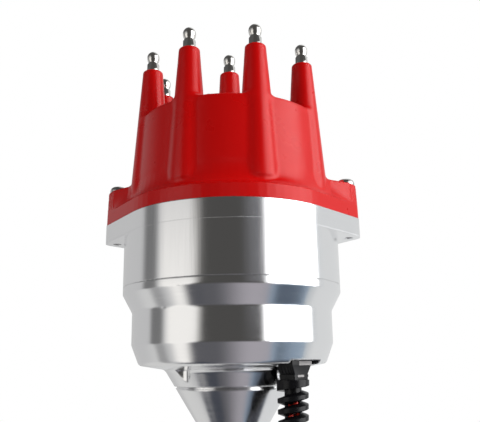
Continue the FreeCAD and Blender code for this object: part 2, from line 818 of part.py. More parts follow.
def terminal_master(name, foot, top):
    """One steel terminal: rod through the tower, collar, waist and domed head on top of it."""
    body = new_body(name)
    rod = size("terminal_shank_radius")
    head = size("terminal_head_radius")
    neck = top + size("terminal_collar_height")
    waist = neck + size("terminal_waist_height") / 2
    shoulder = neck + size("terminal_waist_height")
    tip = shoulder + size("terminal_head_height")
    turn(body, "rod", [
        (0, foot),
        (rod, foot),
        (rod, top),
        (head, top),
        (head, neck),
        (size("terminal_waist_radius"), waist),
        (head, shoulder),
        (head, tip),
        (0, tip),
    ])
    soften(body, "dome", [(head, tip)], head - size("terminal_tip_flat"))
    return body


def terminals():
    """Eight tower terminals as one node, and the centre terminal."""
    master = terminal_master("terminal_master", cap_z + size("contact_foot_height"), tower_top_z)
    places = []
    count = int(SIZES["tower_count"])
    for index in range(count):
        x, y = polar(tower_circle, size("tower_first_angle") + index * 360.0 / count)
        places.append(shifted(x, y, 0))
    centre_foot = button_low_z + size("button_length")
    return [group("tower_terminals", master, places),
            terminal_master("centre_terminal", centre_foot, centre_top_z)]


def carbon_button():
    body = new_body("carbon_button")
    turn(body, "button", ring_points(0, size("button_radius"), button_low_z,
                                     button_low_z + size("button_length")))
    soften(body, "button_round", [(size("button_radius"), button_low_z)],
           size("button_round"))
    return body


def screw_master(name, radius, length, head_radius, head_height):
    """A round headed screw with the underside of its head at its own origin."""
    body = new_body(name)
    turn(body, "screw", [
        (0, -length), (radius, -length), (radius, 0), (head_radius, 0), (head_radius, head_height),
        (0, head_height)])
    soften(body, "head_round", [(head_radius, head_height)], head_height * size("head_round_share"))
    return body


def screws():
    """All the screws, each kind as one node."""
    cap = screw_master("cap_screw_master", size("cap_screw_radius"),
                       size("ear_boss_height") + size("flange_thick") - size("cap_screw_back"),
                       size("cap_screw_head_radius"), size("cap_screw_head_height"))
    head_z = cap_z + size("ear_boss_height")
    reach = ear_screw_radius
    joint = screw_master("joint_screw_master", size("joint_screw_radius"),
                         size("inner_flange_thick") + size("joint_screw_bite"),
                         size("joint_screw_head"), size("small_screw_head_height"))
    joint_places = []
    count = int(SIZES["joint_screw_count"])
    for index in range(count):
        x, y = polar(joint_screw_circle, size("joint_screw_first_angle") + index * 360.0 / count)
        joint_places.append(shifted(x, y, inner_flange_z))
    module = screw_master("module_screw_master", size("small_screw_radius"),
                          size("module_height") + size("small_screw_bite"),
                          size("small_screw_head"), size("small_screw_head_height"))
    pickup = screw_master("pickup_screw_master", size("small_screw_radius"),
                          size("pickup_foot_thick") + size("small_screw_bite"),
                          size("small_screw_head"), size("small_screw_head_height"))
    rotor = screw_master("rotor_screw_master", size("rotor_screw_radius"),
                         rotor_top_z - plate_low_z, size("rotor_screw_head"),
                         size("small_screw_head_height"))
    rotor_places = []
    for angle in (size("rotor_leg_angle"), size("rotor_leg_angle") + 180):
        x, y = polar(rotor_leg_circle, angle)
        rotor_places.append(shifted(x, y, rotor_top_z))
    return [
        group("cap_screws", cap, [shifted(reach, 0, head_z), shifted(-reach, 0, head_z)]),
        group("housing_screws", joint, joint_places),
        group("module_screws", module,
              [shifted(x, y, floor_z + size("module_height")) for x, y in module_screw_places()]),
        group("pickup_screws", pickup,
              [shifted(x, y, floor_z + size("pickup_foot_thick")) for x, y in pickup_screw_places()]),
        group("rotor_screws", rotor, rotor_places),
    ]


def bearing():
    """Upper ball bearing in its seat, with the snap ring over it, and the lower bushing."""
    outer = new_body("bearing_outer_race")
    turn(outer, "race", ring_points(size("bearing_radius") - size("race_thick"), size("bearing_radius"),
                                    bearing_low_z, bearing_top_z))
    inner = new_body("bearing_inner_race")
    bore = size("shaft_radius") + size("running_gap")
    turn(inner, "race", ring_points(bore, bore + size("race_thick"), bearing_low_z, bearing_top_z))
    track = (bore + size("bearing_radius")) / 2
    middle_z = (bearing_low_z + bearing_top_z) / 2
    balls = []
    count = int(SIZES["ball_count"])
    for index in range(count):
        x, y = polar(track, index * 360.0 / count)
        ball = Part.makeSphere(float(size("ball_radius")))
        ball.Placement = shifted(x, y, middle_z)
        balls.append(ball)
    ball_ring = doc.addObject("Part::Feature", "bearing_balls")
    ball_ring.Label = "bearing_balls"
    ball_ring.Shape = Part.makeCompound(balls)
    ball_ring.Placement = FreeCAD.Placement()
    snap = new_body("bearing_snap_ring")
    seat_radius = size("bearing_radius") + size("running_gap")
    outer_radius = seat_radius + size("snap_ring_bite") - size("clip_gap")
    turn(snap, "ring", ring_points(outer_radius - size("snap_ring_width"), outer_radius, snap_low_z,
                                   snap_low_z + size("snap_ring_thick")))
    mouth = size("snap_ring_mouth") / 2
    pocket(snap, "gap", polygon(snap, "gap_sketch", [
        (0, -mouth), (outer_radius + OVER, -mouth), (outer_radius + OVER, mouth), (0, mouth)],
        "XY_Plane", snap_top_z), size("snap_ring_thick") + OVER)
    bushing = new_body("lower_bushing")
    turn(bushing, "sleeve", ring_points(
        size("shaft_radius") + size("running_gap"), size("shaft_radius") + size("bushing_wall"),
        barrel_end_z, barrel_end_z + size("bushing_length")))
    return [outer, inner, ball_ring, snap, bushing]


def shank_ring():
    """Rubber sealing ring in the shank's groove, as squeezed by the engine's bore."""
    ring = doc.addObject("Part::Torus", "shank_o_ring")
    ring.Label = "shank_o_ring"
    section = (size("ring_groove_depth") + size("ring_squeeze") - size("moulded_fit")) / 2
    bind(ring, "Radius2", section)
    bind(ring, "Radius1", size("shank_radius") + size("ring_squeeze") - section)
    bind(ring, ".Placement.Base.z", -(size("ring_groove_drop") + size("ring_groove_width") / 2))
    return ring


def mainshaft():
    """Ground shaft from the drive end up to the cam seat."""
    body = new_body("mainshaft")
    tip_radius = size("drive_end_radius") - size("drive_tip_inset")
    slot_floor_z = shaft_end_z + size("drive_slot_depth")
    turn(body, "shaft", [
        (0, shaft_end_z),
        (tip_radius, shaft_end_z),
        (tip_radius, slot_floor_z),
        (size("drive_end_radius"), slot_floor_z),
        (size("drive_end_radius"), gear_low_z),
        (size("shaft_radius"), gear_low_z),
        (size("shaft_radius"), bearing_top_z),
        (size("shaft_shoulder_radius"), bearing_top_z),
        (size("shaft_shoulder_radius"), bearing_top_z + size("shaft_shoulder_height")),
        (size("shaft_radius"), bearing_top_z + size("shaft_shoulder_height")),
        (size("shaft_radius"), weight_low_z),
        (size("cam_seat_radius"), weight_low_z),
        (size("cam_seat_radius"), clip_low_z),
        (clip_seat_radius, clip_low_z),
        (clip_seat_radius, clip_top_z),
        (size("cam_seat_radius"), clip_top_z),
        (size("cam_seat_radius"), shaft_top_z),
        (0, shaft_top_z),
    ])
    half = size("drive_slot_width") / 2
    reach = size("drive_end_radius") + OVER
    pocket(body, "drive_slot", polygon(body, "drive_slot_sketch", [
        (-reach, -half), (reach, -half), (reach, half), (-reach, half)], "XY_Plane", shaft_end_z - OVER),
        size("drive_slot_depth") + OVER, upward=True)
    pin_z = gear_top_z - size("gear_face") - size("gear_hub_height") / 2
    cross = circles(body, "pin_hole_sketch", [(0, pin_z, size("pin_radius") + size("moulded_fit"))],
                    None, "XZ_Plane")
    pin_hole = pocket(body, "pin_hole", cross, size("gear_hub_radius") * 2)
    pin_hole.Midplane = True
    return body


def drive_gear():
    """Helical gear with a plain hub, its teeth lofted through turned sections.

    Each tooth takes three equal shares of its pitch for rising, top and falling.
    The rest of the pitch is its gap."""
    tip = float(size("gear_radius"))
    foot = tip - float(size("gear_tooth_depth"))
    teeth = int(SIZES["gear_teeth"])
    step = 2 * math.pi / teeth
    low = float(gear_top_z - size("gear_face"))
    face = float(size("gear_face"))
    section_count = 4
    tooth_share = 0.24

    def section(height, twist):
        points = []
        for tooth in range(teeth):
            start = twist + tooth * step
            for corner, radius in enumerate((foot, tip, tip, foot)):
                angle = start + corner * tooth_share * step
                points.append(FreeCAD.Vector(radius * math.cos(angle), radius * math.sin(angle), height))
        return Part.makePolygon(points + points[:1])

    wires = []
    for index in range(section_count + 1):
        part = index / section_count
        wires.append(section(low + face * part, math.radians(float(size("gear_twist"))) * part))
    blank = Part.makeLoft(wires, True, True)
    hub_height = float(size("gear_hub_height"))
    hub = Part.makeCylinder(float(size("gear_hub_radius")), hub_height + OVER,
                            FreeCAD.Vector(0, 0, low - hub_height))
    bore = Part.makeCylinder(float(size("shaft_radius") + size("moulded_fit")), face + hub_height + 2 * OVER,
                             FreeCAD.Vector(0, 0, low - hub_height - OVER))
    pin_hole = Part.makeCylinder(
        float(size("pin_radius") + size("moulded_fit")), 2 * tip,
        FreeCAD.Vector(0, -tip, low - hub_height / 2), FreeCAD.Vector(0, 1, 0))
    gear = doc.addObject("Part::Feature", "drive_gear")
    gear.Label = "drive_gear"
    gear.Shape = blank.fuse(hub).cut(bore).cut(pin_hole).removeSplitter()
    gear.Placement = FreeCAD.Placement()
    pin = doc.addObject("Part::Cylinder", "gear_pin")
    pin.Label = "gear_pin"
    bind(pin, "Radius", size("pin_radius"))
    bind(pin, "Height", (size("gear_hub_radius") - size("pin_inset")) * 2)
    pin.Placement = FreeCAD.Placement(
        FreeCAD.Vector(0, 0, 0), FreeCAD.Rotation(FreeCAD.Vector(1, 0, 0), -90))
    bind(pin, ".Placement.Base.y", -(size("gear_hub_radius") - size("pin_inset")))
    bind(pin, ".Placement.Base.z", gear_low_z + size("gear_hub_height") / 2)
    return [gear, pin]


def thrust_washer():
    body = new_body("thrust_washer")
    turn(body, "washer", ring_points(size("shaft_radius") + size("end_float"), size("gear_hub_radius"),
                                     washer_top_z - size("thrust_washer_thick"), washer_top_z))
    return body


def reluctor_sleeve():
    """Sleeve that turns on the shaft, with the eight toothed reluctor at its foot."""
    body = new_body("reluctor_sleeve")
    bore = size("shaft_radius") + size("running_gap")
    turn(body, "sleeve", [
        (bore, sleeve_low_z),
        (bore + size("sleeve_wall"), sleeve_low_z),
        (bore + size("sleeve_wall"), plate_low_z),
        (size("sleeve_stub_radius"), plate_low_z),
        (size("sleeve_stub_radius"), plate_top_z),
        (bore, plate_top_z),
    ])
    low = sleeve_low_z + size("reluctor_base_height")
    turn(body, "hub", ring_points(
        bore + OVER, size("reluctor_hub_radius"), low, low + size("reluctor_height")))
    half = size("reluctor_tooth_width") / 2
    root = size("reluctor_hub_radius") - OVER
    tooth = pad(body, "tooth", polygon(body, "tooth_sketch", [
        (root, -size("reluctor_root_half")), (size("reluctor_tip_radius"), -half),
        (size("reluctor_tip_radius"), half), (root, size("reluctor_root_half"))],
        "XY_Plane", low), size("reluctor_height"))
    around(body, "teeth", [tooth], size("tower_count"))
    return body


def post_places():
    x, y = polar(spring_post_circle, size("spring_post_angle"))
    return [(x, y), (-x, -y)]


def pivot_place():
    return polar(size("weight_pivot_circle"), size("weight_pivot_angle"))


def advance_plate():
    """Plate that carries the weights' pivots, the spring posts and the rotor."""
    body = new_body("advance_plate")
    disc = circles(body, "disc_sketch", [
        (0, 0, advance_plate_radius),
        (0, 0, size("sleeve_stub_radius") + size("moulded_fit"))], plate_low_z)
    pad(body, "disc", disc, size("advance_plate_thick"))
    pivot_x, pivot_y = pivot_place()
    leg_x, leg_y = polar(rotor_leg_circle, size("rotor_leg_angle"))
    post_x, post_y = post_places()[0]
    fit = size("moulded_fit")
    hole = pocket(body, "hole", circles(body, "holes_sketch", [
        (pivot_x, pivot_y, size("weight_pin_radius") + fit),
        (leg_x, leg_y, size("rotor_screw_radius") + fit),
        (post_x, post_y, size("spring_post_radius") + fit)], plate_top_z),
        size("advance_plate_thick") + OVER)
    slot = pocket(body, "stop_slot", slot_outline(body), size("advance_plate_thick") + OVER)
    around(body, "both_sides", [hole, slot], 2)
    return body


def slot_outline(body):
    """Curved slot for a stop bushing: the bushing's width over the advance angle."""
    sketch = new_sketch(body, "stop_slot_sketch", "XY_Plane", plate_top_z)
    radius = float(size("stop_circle"))
    half = float(size("stop_bushing_radius") + size("stop_slot_gap"))
    up = FreeCAD.Vector(0, 0, 1)
    origin = FreeCAD.Vector(0, 0, 0)
    first = math.radians(-float(size("advance_angle")))
    inner, outer = radius - half, radius + half
    far = FreeCAD.Vector(radius * math.cos(first), radius * math.sin(first), 0)
    near = FreeCAD.Vector(radius, 0, 0)
    sketch.addGeometry([
        Part.ArcOfCircle(Part.Circle(origin, up, outer), first, 0),
        Part.ArcOfCircle(Part.Circle(near, up, half), 0, math.pi),
        Part.ArcOfCircle(Part.Circle(origin, up, inner), first, 0),
        Part.ArcOfCircle(Part.Circle(far, up, half), first + math.pi, first + 2 * math.pi),
    ], False)
    joints = ((0, 2, 1, 1), (1, 2, 2, 2), (2, 1, 3, 1), (3, 2, 0, 1))
    for first_edge, first_end, second_edge, second_end in joints:
        sketch.addConstraint(Sketcher.Constraint("Tangent", first_edge, first_end, second_edge, second_end))
    for index in (0, 2):
        sketch.addConstraint(Sketcher.Constraint("Coincident", index, 3, -1, 1))
    hold_point(sketch, 1, 3, (size("stop_circle"), 0))
    far_y = size("stop_circle") * sin_of(-size("advance_angle"))
    held = sketch.addConstraint(Sketcher.Constraint("DistanceY", -1, 1, 3, 3, float(far_y)))
    bind(sketch, f"Constraints[{held}]", far_y)
    held = sketch.addConstraint(Sketcher.Constraint("Radius", 1, half))
    bind(sketch, f"Constraints[{held}]", size("stop_bushing_radius") + size("stop_slot_gap"))
    return sketch


def pin_master(name, radius, low, high, head_radius, head_height):
    """A riveted pin: plain above the plate, with a head under it."""
    body = new_body(name)
    turn(body, "pin", [
        (0, low - head_height), (head_radius, low - head_height), (head_radius, low), (radius, low),
        (radius, high), (0, high)])
    return body


def advance_posts():
    """Weight pivots with their clips, and spring posts, all riveted to the advance plate."""
    pivot_x, pivot_y = pivot_place()
    pivots = [shifted(pivot_x, pivot_y, 0), shifted(-pivot_x, -pivot_y, 0)]
    pin = new_body("weight_pin_master")
    radius = size("weight_pin_radius")
    seat = radius - size("clip_groove")
    rivet_low_z = plate_low_z - size("rivet_head_thick")
    rivet_radius = radius + size("rivet_head_rise")
    pin_top_z = clip_top_z + size("post_rise")
    turn(pin, "pin", [
        (0, rivet_low_z), (rivet_radius, rivet_low_z), (rivet_radius, plate_low_z),
        (radius, plate_low_z), (radius, clip_low_z), (seat, clip_low_z),
        (seat, clip_top_z), (radius, clip_top_z), (radius, pin_top_z), (0, pin_top_z)])
    clip = clip_master("weight_clip_master", seat)
    post = pin_master("spring_post_master", size("spring_post_radius"), plate_low_z, post_top_z,
                      size("spring_post_radius") + size("post_rise"), size("clip_thick"))
    return [group("weight_pins", pin, pivots), group("weight_clips", clip, pivots),
            group("spring_posts", post, [shifted(x, y, 0) for x, y in post_places()])]


def clip_master(name, groove_radius):
    """An open clip that snaps sideways into a groove."""
    body = new_body(name)
    inner = groove_radius + size("moulded_fit") * 2
    outer = inner + size("clip_bite")
    turn(body, "ring", ring_points(inner, outer, clip_low_z + size("moulded_fit"),
                                   clip_top_z - size("moulded_fit")))
    half = inner * size("clip_mouth_share")
    pocket(body, "mouth", polygon(body, "mouth_sketch", [
        (0, -half), (outer + OVER, -half), (outer + OVER, half), (0, half)], "XY_Plane", clip_top_z),
        size("clip_thick") + OVER)
    return body


def centre_cam():
    """Cam plate fixed on the shaft, with a stop pin and spring post at each end."""
    body = new_body("centre_cam")
    pad(body, "plate", hull_outline(
        body, "cam_outline", weight_low_z, size("cam_end_radius") + size("cam_waist_rise"),
        size("cam_reach"), size("cam_end_radius")), size("weight_thick"))
    pocket(body, "bore", circles(body, "bore_sketch", [
        (0, 0, size("cam_seat_radius") + size("moulded_fit"))], weight_top_z), size("weight_thick") + OVER)
    pin_low = plate_low_z - size("clip_thick")
    reach = size("stop_circle")
    pins = circles(body, "pins_sketch", [(reach, 0, size("stop_pin_radius")),
                                         (-reach, 0, size("stop_pin_radius"))], pin_low)
    pad(body, "pins", pins, post_top_z - pin_low)
    clip = clip_master("cam_clip", clip_seat_radius)
    bushing = new_body("stop_bushing_master")
    turn(bushing, "bushing", ring_points(
        size("stop_pin_radius") + size("running_gap"), size("stop_bushing_radius"),
        pin_low + size("end_float"), weight_low_z))
    return [body, clip, group("stop_bushings", bushing, [shifted(reach, 0, 0), shifted(-reach, 0, 0)])]


def weight_master():
    """Fly weight: a segment of a disc that lies along the cam and swings on its pivot."""
    body = new_body("weight_master")
    inner_y = size("cam_end_radius") + size("cam_waist_rise") + size("cam_gap")
    pivot_x, pivot_y = pivot_place()
    outer = size("weight_outer_radius")
    pad(body, "disc", circles(body, "disc_sketch", [(0, 0, outer)], weight_low_z), size("weight_thick"))
    far = outer + OVER
    for name, low_x, high_x, high_y in (("flat", -far, far, inner_y), ("end", size("weight_end"), far, far),
                                        ("pivot_side", -far, pivot_x, far)):
        pocket(body, name, polygon(body, name + "_sketch", [
            (low_x, -far), (high_x, -far), (high_x, high_y), (low_x, high_y)],
            "XY_Plane", weight_top_z + OVER), size("weight_thick") + OVER * 2)
    pad(body, "boss", circles(body, "boss_sketch", [(pivot_x, pivot_y, size("weight_boss_radius"))],
                              weight_low_z), size("weight_thick"))
    pocket(body, "pivot_hole", circles(body, "pivot_hole_sketch", [
        (pivot_x, pivot_y, size("weight_pin_radius") + size("running_gap"))], weight_top_z + OVER),
        size("weight_thick") + OVER * 2)
    return body


def weights():
    """Two equal weights, half a turn apart."""
    master = weight_master()
    return [group("advance_weight_a", master, [shifted(0, 0, 0)]),
            group("advance_weight_b", master, [shifted(0, 0, 0, 180.0)])]


def springs():
    """Two return springs between the cam's pins and the plate's posts: a plain coil body with end eyes."""
    start = FreeCAD.Vector(float(size("stop_circle")), 0, float(spring_z))
    post_x, post_y = post_places()[0]
    end = FreeCAD.Vector(float(post_x), float(post_y), float(spring_z))
    unit = FreeCAD.Vector(end - start).normalize()
    wire = float(size("spring_wire"))
    radius = float(size("spring_radius"))
    eye_gap = float(size("spring_eye_gap"))
    tail_length = 2 * wire + float(size("spring_tail"))
    tail_share = 0.9
    spring = None
    ends = ((start, unit, float(size("stop_pin_radius"))), (end, -unit, float(size("spring_post_radius"))))
    coil_ends = []
    for centre, inward, pin_radius in ends:
        eye_radius = pin_radius + eye_gap + wire
        coil_end = centre + inward * (eye_radius + tail_length)
        eye = Part.makeTorus(eye_radius, wire, centre)
        tail = Part.makeCylinder(wire * tail_share, tail_length + wire, centre + inward * eye_radius, inward)
        spring = eye.fuse(tail) if spring is None else spring.fuse(eye).fuse(tail)
        coil_ends.append(coil_end)
    coil_length = (coil_ends[1] - coil_ends[0]).Length
    coil = Part.makeCylinder(radius, coil_length, coil_ends[0], unit)
    hollow = Part.makeCylinder(
        radius - 2 * wire, coil_length - 4 * wire, coil_ends[0] + unit * (2 * wire), unit)
    spring = spring.fuse(coil.cut(hollow))
    nodes = []
    for label, turned in (("advance_spring_a", 0.0), ("advance_spring_b", 180.0)):
        node = doc.addObject("Part::Feature", label)
        node.Label = label
        copy = spring.copy()
        copy.Placement = shifted(0, 0, 0, turned)
        node.Shape = copy
        nodes.append(node)
    return nodes


def rotor():
    """Moulded rotor: disc on two legs, with a raised arm that carries the blade."""
    body = new_body("rotor")
    turn(body, "disc", ring_points(0, rotor_disc_radius, rotor_disc_z, rotor_top_z))
    leg_x, leg_y = polar(rotor_leg_circle - size("rotor_leg_lean"), size("rotor_leg_angle"))
    leg = pad(body, "leg", circles(body, "leg_sketch", [(leg_x, leg_y, size("rotor_leg_radius"))],
                                   plate_top_z), rotor_disc_z - plate_top_z + OVER)
    around(body, "legs", [leg], 2)
    arm = slab_outline(body, "arm_sketch", (rotor_arm_reach - size("rotor_arm_back")) / 2,
                       size("tower_first_angle"), rotor_arm_reach + size("rotor_arm_back"),
                       size("rotor_arm_width"), rotor_top_z - OVER)
    pad(body, "arm", arm, arm_top_z - rotor_top_z + OVER)
    screw_x, screw_y = polar(rotor_leg_circle, size("rotor_leg_angle"))
    hole = pocket(body, "screw_hole", circles(body, "screw_hole_sketch", [
        (screw_x, screw_y, size("rotor_screw_radius") + size("moulded_fit"))], rotor_top_z),
        rotor_top_z - plate_top_z + OVER)
    around(body, "screw_holes", [hole], 2)
    blade = new_body("rotor_blade")
    strip = slab_outline(blade, "strip_sketch", (blade_reach - size("blade_back")) / 2,
                         size("tower_first_angle"), blade_reach + size("blade_back"),
                         size("blade_width"), arm_top_z)
    pad(blade, "strip", strip, size("blade_thick"))
    base, neck = size("contact_base_radius"), size("contact_neck_radius")
    base_top_z = blade_top_z + size("contact_base_height")
    contact_z = button_low_z - size("button_gap")
    turn(blade, "spring_contact", [
        (0, arm_top_z), (base, arm_top_z), (base, base_top_z),
        (neck, base_top_z + size("contact_base_height")),
        (neck, contact_z), (0, contact_z)])
    return [body, blade]


def pickup():
    """Magnetic pickup: foot on the floor, coil block, and a pole that faces the reluctor."""
    body = new_body("magnetic_pickup")
    angle = size("pickup_angle")
    middle = pickup_middle()
    pad(body, "foot", slab_outline(body, "foot_sketch", middle, angle, size("pickup_foot_length"),
                                   size("pickup_foot_width"), floor_z), size("pickup_foot_thick"))
    pad(body, "coil", slab_outline(body, "coil_sketch", middle, angle, size("pickup_length"),
                                   size("pickup_width"), floor_z), size("pickup_height"))
    pole_z = sleeve_low_z + size("reluctor_base_height")
    pad(body, "pole", slab_outline(
        body, "pole_sketch", middle - size("pickup_length") / 2, angle, size("pickup_pole_length"),
        size("pickup_pole_width"), pole_z), size("reluctor_height"))
    places = pickup_screw_places()
    pocket(body, "holes", circles(body, "holes_sketch", [
        (x, y, size("small_screw_radius") + size("moulded_fit")) for x, y in places],
        floor_z + size("pickup_foot_thick")), size("pickup_foot_thick") + OVER)
    return body


def ignition_module():
    """Potted control module, curved to fit the bowl."""
    body = new_body("ignition_module")
    turn_part = body.newObject("PartDesign::Revolution", "block")
    sketch = polygon(body, "block_outline", ring_points(
        size("module_inner_radius"), module_outer_radius, floor_z, floor_z + size("module_height")))
    turn_part.Profile = sketch
    turn_part.ReferenceAxis = (sketch, ["V_Axis"])
    bind(turn_part, "Angle", size("module_half_angle") * 2)
    turn_part.Midplane = True
    body.Placement = FreeCAD.Placement(FreeCAD.Vector(0, 0, 0),
                                       FreeCAD.Rotation(FreeCAD.Vector(0, 0, 1), 180))
    holes = [(-x, -y, size("small_screw_radius") + size("moulded_fit")) for x, y in module_screw_places()]
    pocket(body, "holes", circles(body, "holes_sketch", holes, floor_z + size("module_height")),
           size("module_height") + OVER)
    return body


def centred_slab(body, name, width, length, height):
    """A rectangle about the body's own axis: width along X, length along Y."""
    return polygon(body, name, [(-width / 2, -length / 2), (width / 2, -length / 2),
                                (width / 2, length / 2), (-width / 2, length / 2)], "XY_Plane", height)


def strain_relief():
    """Rubber strain relief: flange in the recess, neck, collar, and flights on a core."""
    body = new_body("strain_relief")
    top = size("boot_recess_depth") - size("boot_fit")
    stub_top = size("floor_thick") + size("boot_stub")
    stub_radius = size("boot_hole_radius") - size("boot_fit")
    neck_z = -size("boot_neck_drop")
    collar_low = neck_z - size("boot_collar_height")
    flank = size("flight_flank")
    core = size("boot_core_radius")
    points = [(0, stub_top), (stub_radius, stub_top), (stub_radius, top),
              (core, top), (core, neck_z), (size("boot_collar_radius"), neck_z),
              (size("boot_collar_radius"), collar_low), (core, collar_low - flank)]
    count = int(SIZES["flight_count"])
    for index in range(count):
        low = collar_low - flank - size("flight_pitch") * (index + 1)
        tip_low = low + flank
        tip_high = tip_low + size("flight_tip")
        points += [(core, tip_high + flank), (size("flight_radius"), tip_high),
                   (size("flight_radius"), tip_low), (core, low)]
    low = collar_low - flank - size("flight_pitch") * count - size("boot_tail")
    points += [(core, low), (0, low)]
    turn(body, "boot", points)
    flange = size("boot_flange_width"), size("boot_flange_length")
    rise = size("boot_flange_rise")
    pad(body, "flange", centred_slab(body, "flange_sketch", *flange, rise), top - rise)
    neck = body.newObject("PartDesign::AdditiveLoft", "neck")
    neck.Profile = centred_slab(body, "neck_high", *flange, rise)
    neck.Sections = [centred_slab(body, "neck_low", size("boot_neck_width"),
                                  size("boot_neck_length"), neck_z)]
    neck.Ruled = True
    x, y = polar(boot_circle, size("boot_angle"))
    body.Placement = shifted(x, y, under_z, float(size("boot_angle")))
    return body, float(under_z + low)


def lead_route(start_z):
    """Points of the lead, chosen by hand: out of the strain relief, outwards a little, then hanging."""
    x, y = polar(boot_circle, size("boot_angle"))
    angle = math.radians(float(size("boot_angle")))
    outward = FreeCAD.Vector(math.cos(angle), math.sin(angle), 0)
    across = FreeCAD.Vector(-math.sin(angle), math.cos(angle), 0)
    start = FreeCAD.Vector(float(x), float(y), start_z)
    steps = ((0, 0, 0), (0, 0, -22), (3.5, 1.5, -56), (8.5, 0.5, -98), (9.5, -3.5, -142),
             (7.5, -5.0, -186), (6.5, -4.0, -226))
    return [start + outward * out + across * side + FreeCAD.Vector(0, 0, drop) for out, side, drop in steps]


def lead(start_z):
    """The three wires' sleeve as a plain tube of straight runs and tangent arcs, and its plug."""
    points = lead_route(start_z)
    edges = []
    last = points[0]
    length = 0.0
    for index in range(1, len(points) - 1):
        before, here, after = points[index - 1], points[index], points[index + 1]
        into = here - before
        out = after - here
        half_turn = into.getAngle(out) / 2
        radius = ARC_SHARE * min(into.Length, out.Length) / math.tan(half_turn)
        reach = radius * math.tan(half_turn)
        entry = here - FreeCAD.Vector(into).normalize() * reach
        leave = here + FreeCAD.Vector(out).normalize() * reach
        inward = (FreeCAD.Vector(out).normalize() - FreeCAD.Vector(into).normalize()).normalize()
        sagitta = radius / math.cos(half_turn) - radius
        edges.append(Part.LineSegment(last, entry).toShape())
        edges.append(Part.Arc(entry, here + inward * sagitta, leave).toShape())
        print("lead arc radius", round(radius, 1))
        last = leave
    edges.append(Part.LineSegment(last, points[-1]).toShape())
    path = Part.Wire(edges)
    radius = float(size("lead_radius"))
    first = FreeCAD.Vector(points[1] - points[0]).normalize()
    section = Part.Wire([Part.Circle(points[0], first, radius).toShape()])
    tube = path.makePipeShell([section], True, True)
    print("lead length", round(path.Length, 1), "volume ratio",
          round(tube.Volume / (math.pi * radius ** 2 * path.Length), 4))
    node = doc.addObject("Part::Feature", "lead_cable")
    node.Label = "lead_cable"
    node.Shape = tube
    plug = new_body("lead_plug")
    half_width = size("plug_width") / 2
    half_depth = size("plug_depth") / 2
    pad(plug, "shell", polygon(plug, "shell_sketch", [
        (-half_width, -half_depth), (half_width, -half_depth), (half_width, half_depth),
        (-half_width, half_depth)], "XY_Plane", 0), size("plug_length"), downward=True)
    end = points[-1]
    down = (points[-1] - points[-2]).normalize()
    plug.Placement = FreeCAD.Placement(end, FreeCAD.Rotation(FreeCAD.Vector(0, 0, -1), down))
    return [node, plug]


def check(objects):
    """Stop with a plain message when an object failed or a sub-part has no valid solid."""
    for item in doc.Objects:
        if "Invalid" in item.State or "Error" in item.State:
            raise SystemExit(f"{item.Label} failed: {item.State}")
    for item in objects:
        if item.Shape.isNull() or not item.Shape.isValid() or not item.Shape.Solids:
            raise SystemExit(f"{item.Label} has no valid solid")


def main():
    boot, boot_low = strain_relief()
    nodes = [lower_housing(), upper_housing(), distributor_cap(), carbon_button(), shank_ring(), mainshaft(),
             thrust_washer(), reluctor_sleeve(), advance_plate(), pickup(), ignition_module(), boot]
    for made in (terminals(), screws(), bearing(), drive_gear(), advance_posts(), centre_cam(), weights(),
                 springs(), rotor(), lead(boot_low)):
        nodes.extend(made)
    doc.recompute()
    check(nodes)
    os.makedirs("parts", exist_ok=True)
    for node in nodes:
        node.Shape.exportStep(f"parts/{node.Label}.step")
        print(node.Label, len(node.Shape.Solids), round(node.Shape.Volume, 1))


main()
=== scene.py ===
import json
import math

import bmesh
import bpy
import numpy as np
import openvdb
from mathutils import Matrix, Vector


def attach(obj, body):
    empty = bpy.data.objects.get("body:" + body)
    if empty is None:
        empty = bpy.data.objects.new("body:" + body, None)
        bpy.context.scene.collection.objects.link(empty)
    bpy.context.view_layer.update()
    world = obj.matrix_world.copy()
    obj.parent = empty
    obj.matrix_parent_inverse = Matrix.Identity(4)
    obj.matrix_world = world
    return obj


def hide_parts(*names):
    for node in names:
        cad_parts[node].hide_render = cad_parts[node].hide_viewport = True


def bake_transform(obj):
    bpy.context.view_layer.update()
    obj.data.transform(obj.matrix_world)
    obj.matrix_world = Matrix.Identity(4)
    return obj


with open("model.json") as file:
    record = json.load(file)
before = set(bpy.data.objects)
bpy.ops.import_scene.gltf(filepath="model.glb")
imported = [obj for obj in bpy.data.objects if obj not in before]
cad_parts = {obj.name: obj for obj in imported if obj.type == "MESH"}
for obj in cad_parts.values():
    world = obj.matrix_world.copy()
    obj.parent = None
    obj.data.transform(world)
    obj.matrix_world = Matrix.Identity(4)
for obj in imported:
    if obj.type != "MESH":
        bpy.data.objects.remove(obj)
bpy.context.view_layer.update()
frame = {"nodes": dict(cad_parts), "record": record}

# Looks of the ignition distributor. Sizes are in millimetres and angles in degrees, and the helpers turn them
# into Blender's metres and radians. The camera's place, the floor, the lamps and bump depths are in metres.
MM = 0.001

# Heights, circles and angles that the pieces share with the part's source
SEAM_Z = 92.0
CAP_Z = 128.0
UNDER_Z = 50.7
TOWER_COUNT = 8
TOWER_CIRCLE = 44.6
TOWER_FIRST_ANGLE = 22.5
EAR_REACH = 63.15
EAR_SEAT = 18.7
BOOT_CIRCLE = 40.0
BOOT_ANGLE = -38.4
TAIL_END_Z = 8.3
LEAD_RADIUS = 3.2
SPRING_Z = 107.5
CAM_PIN_X = 17.0
POST_CIRCLE = 34.5
POST_ANGLE = 29.5

# The camera, fitted to the photograph
CAMERA_PITCH = 13.67
CAMERA_ROLL = 0.62
CAMERA_YAW = 0.832
CAMERA_TURN = 5.0
CAMERA_PLACE = (0, -0.332249, 0.0541)
CAMERA_LENS = 46.6
CAMERA_SENSOR = 36.0
CAMERA_NEAR = 0.01

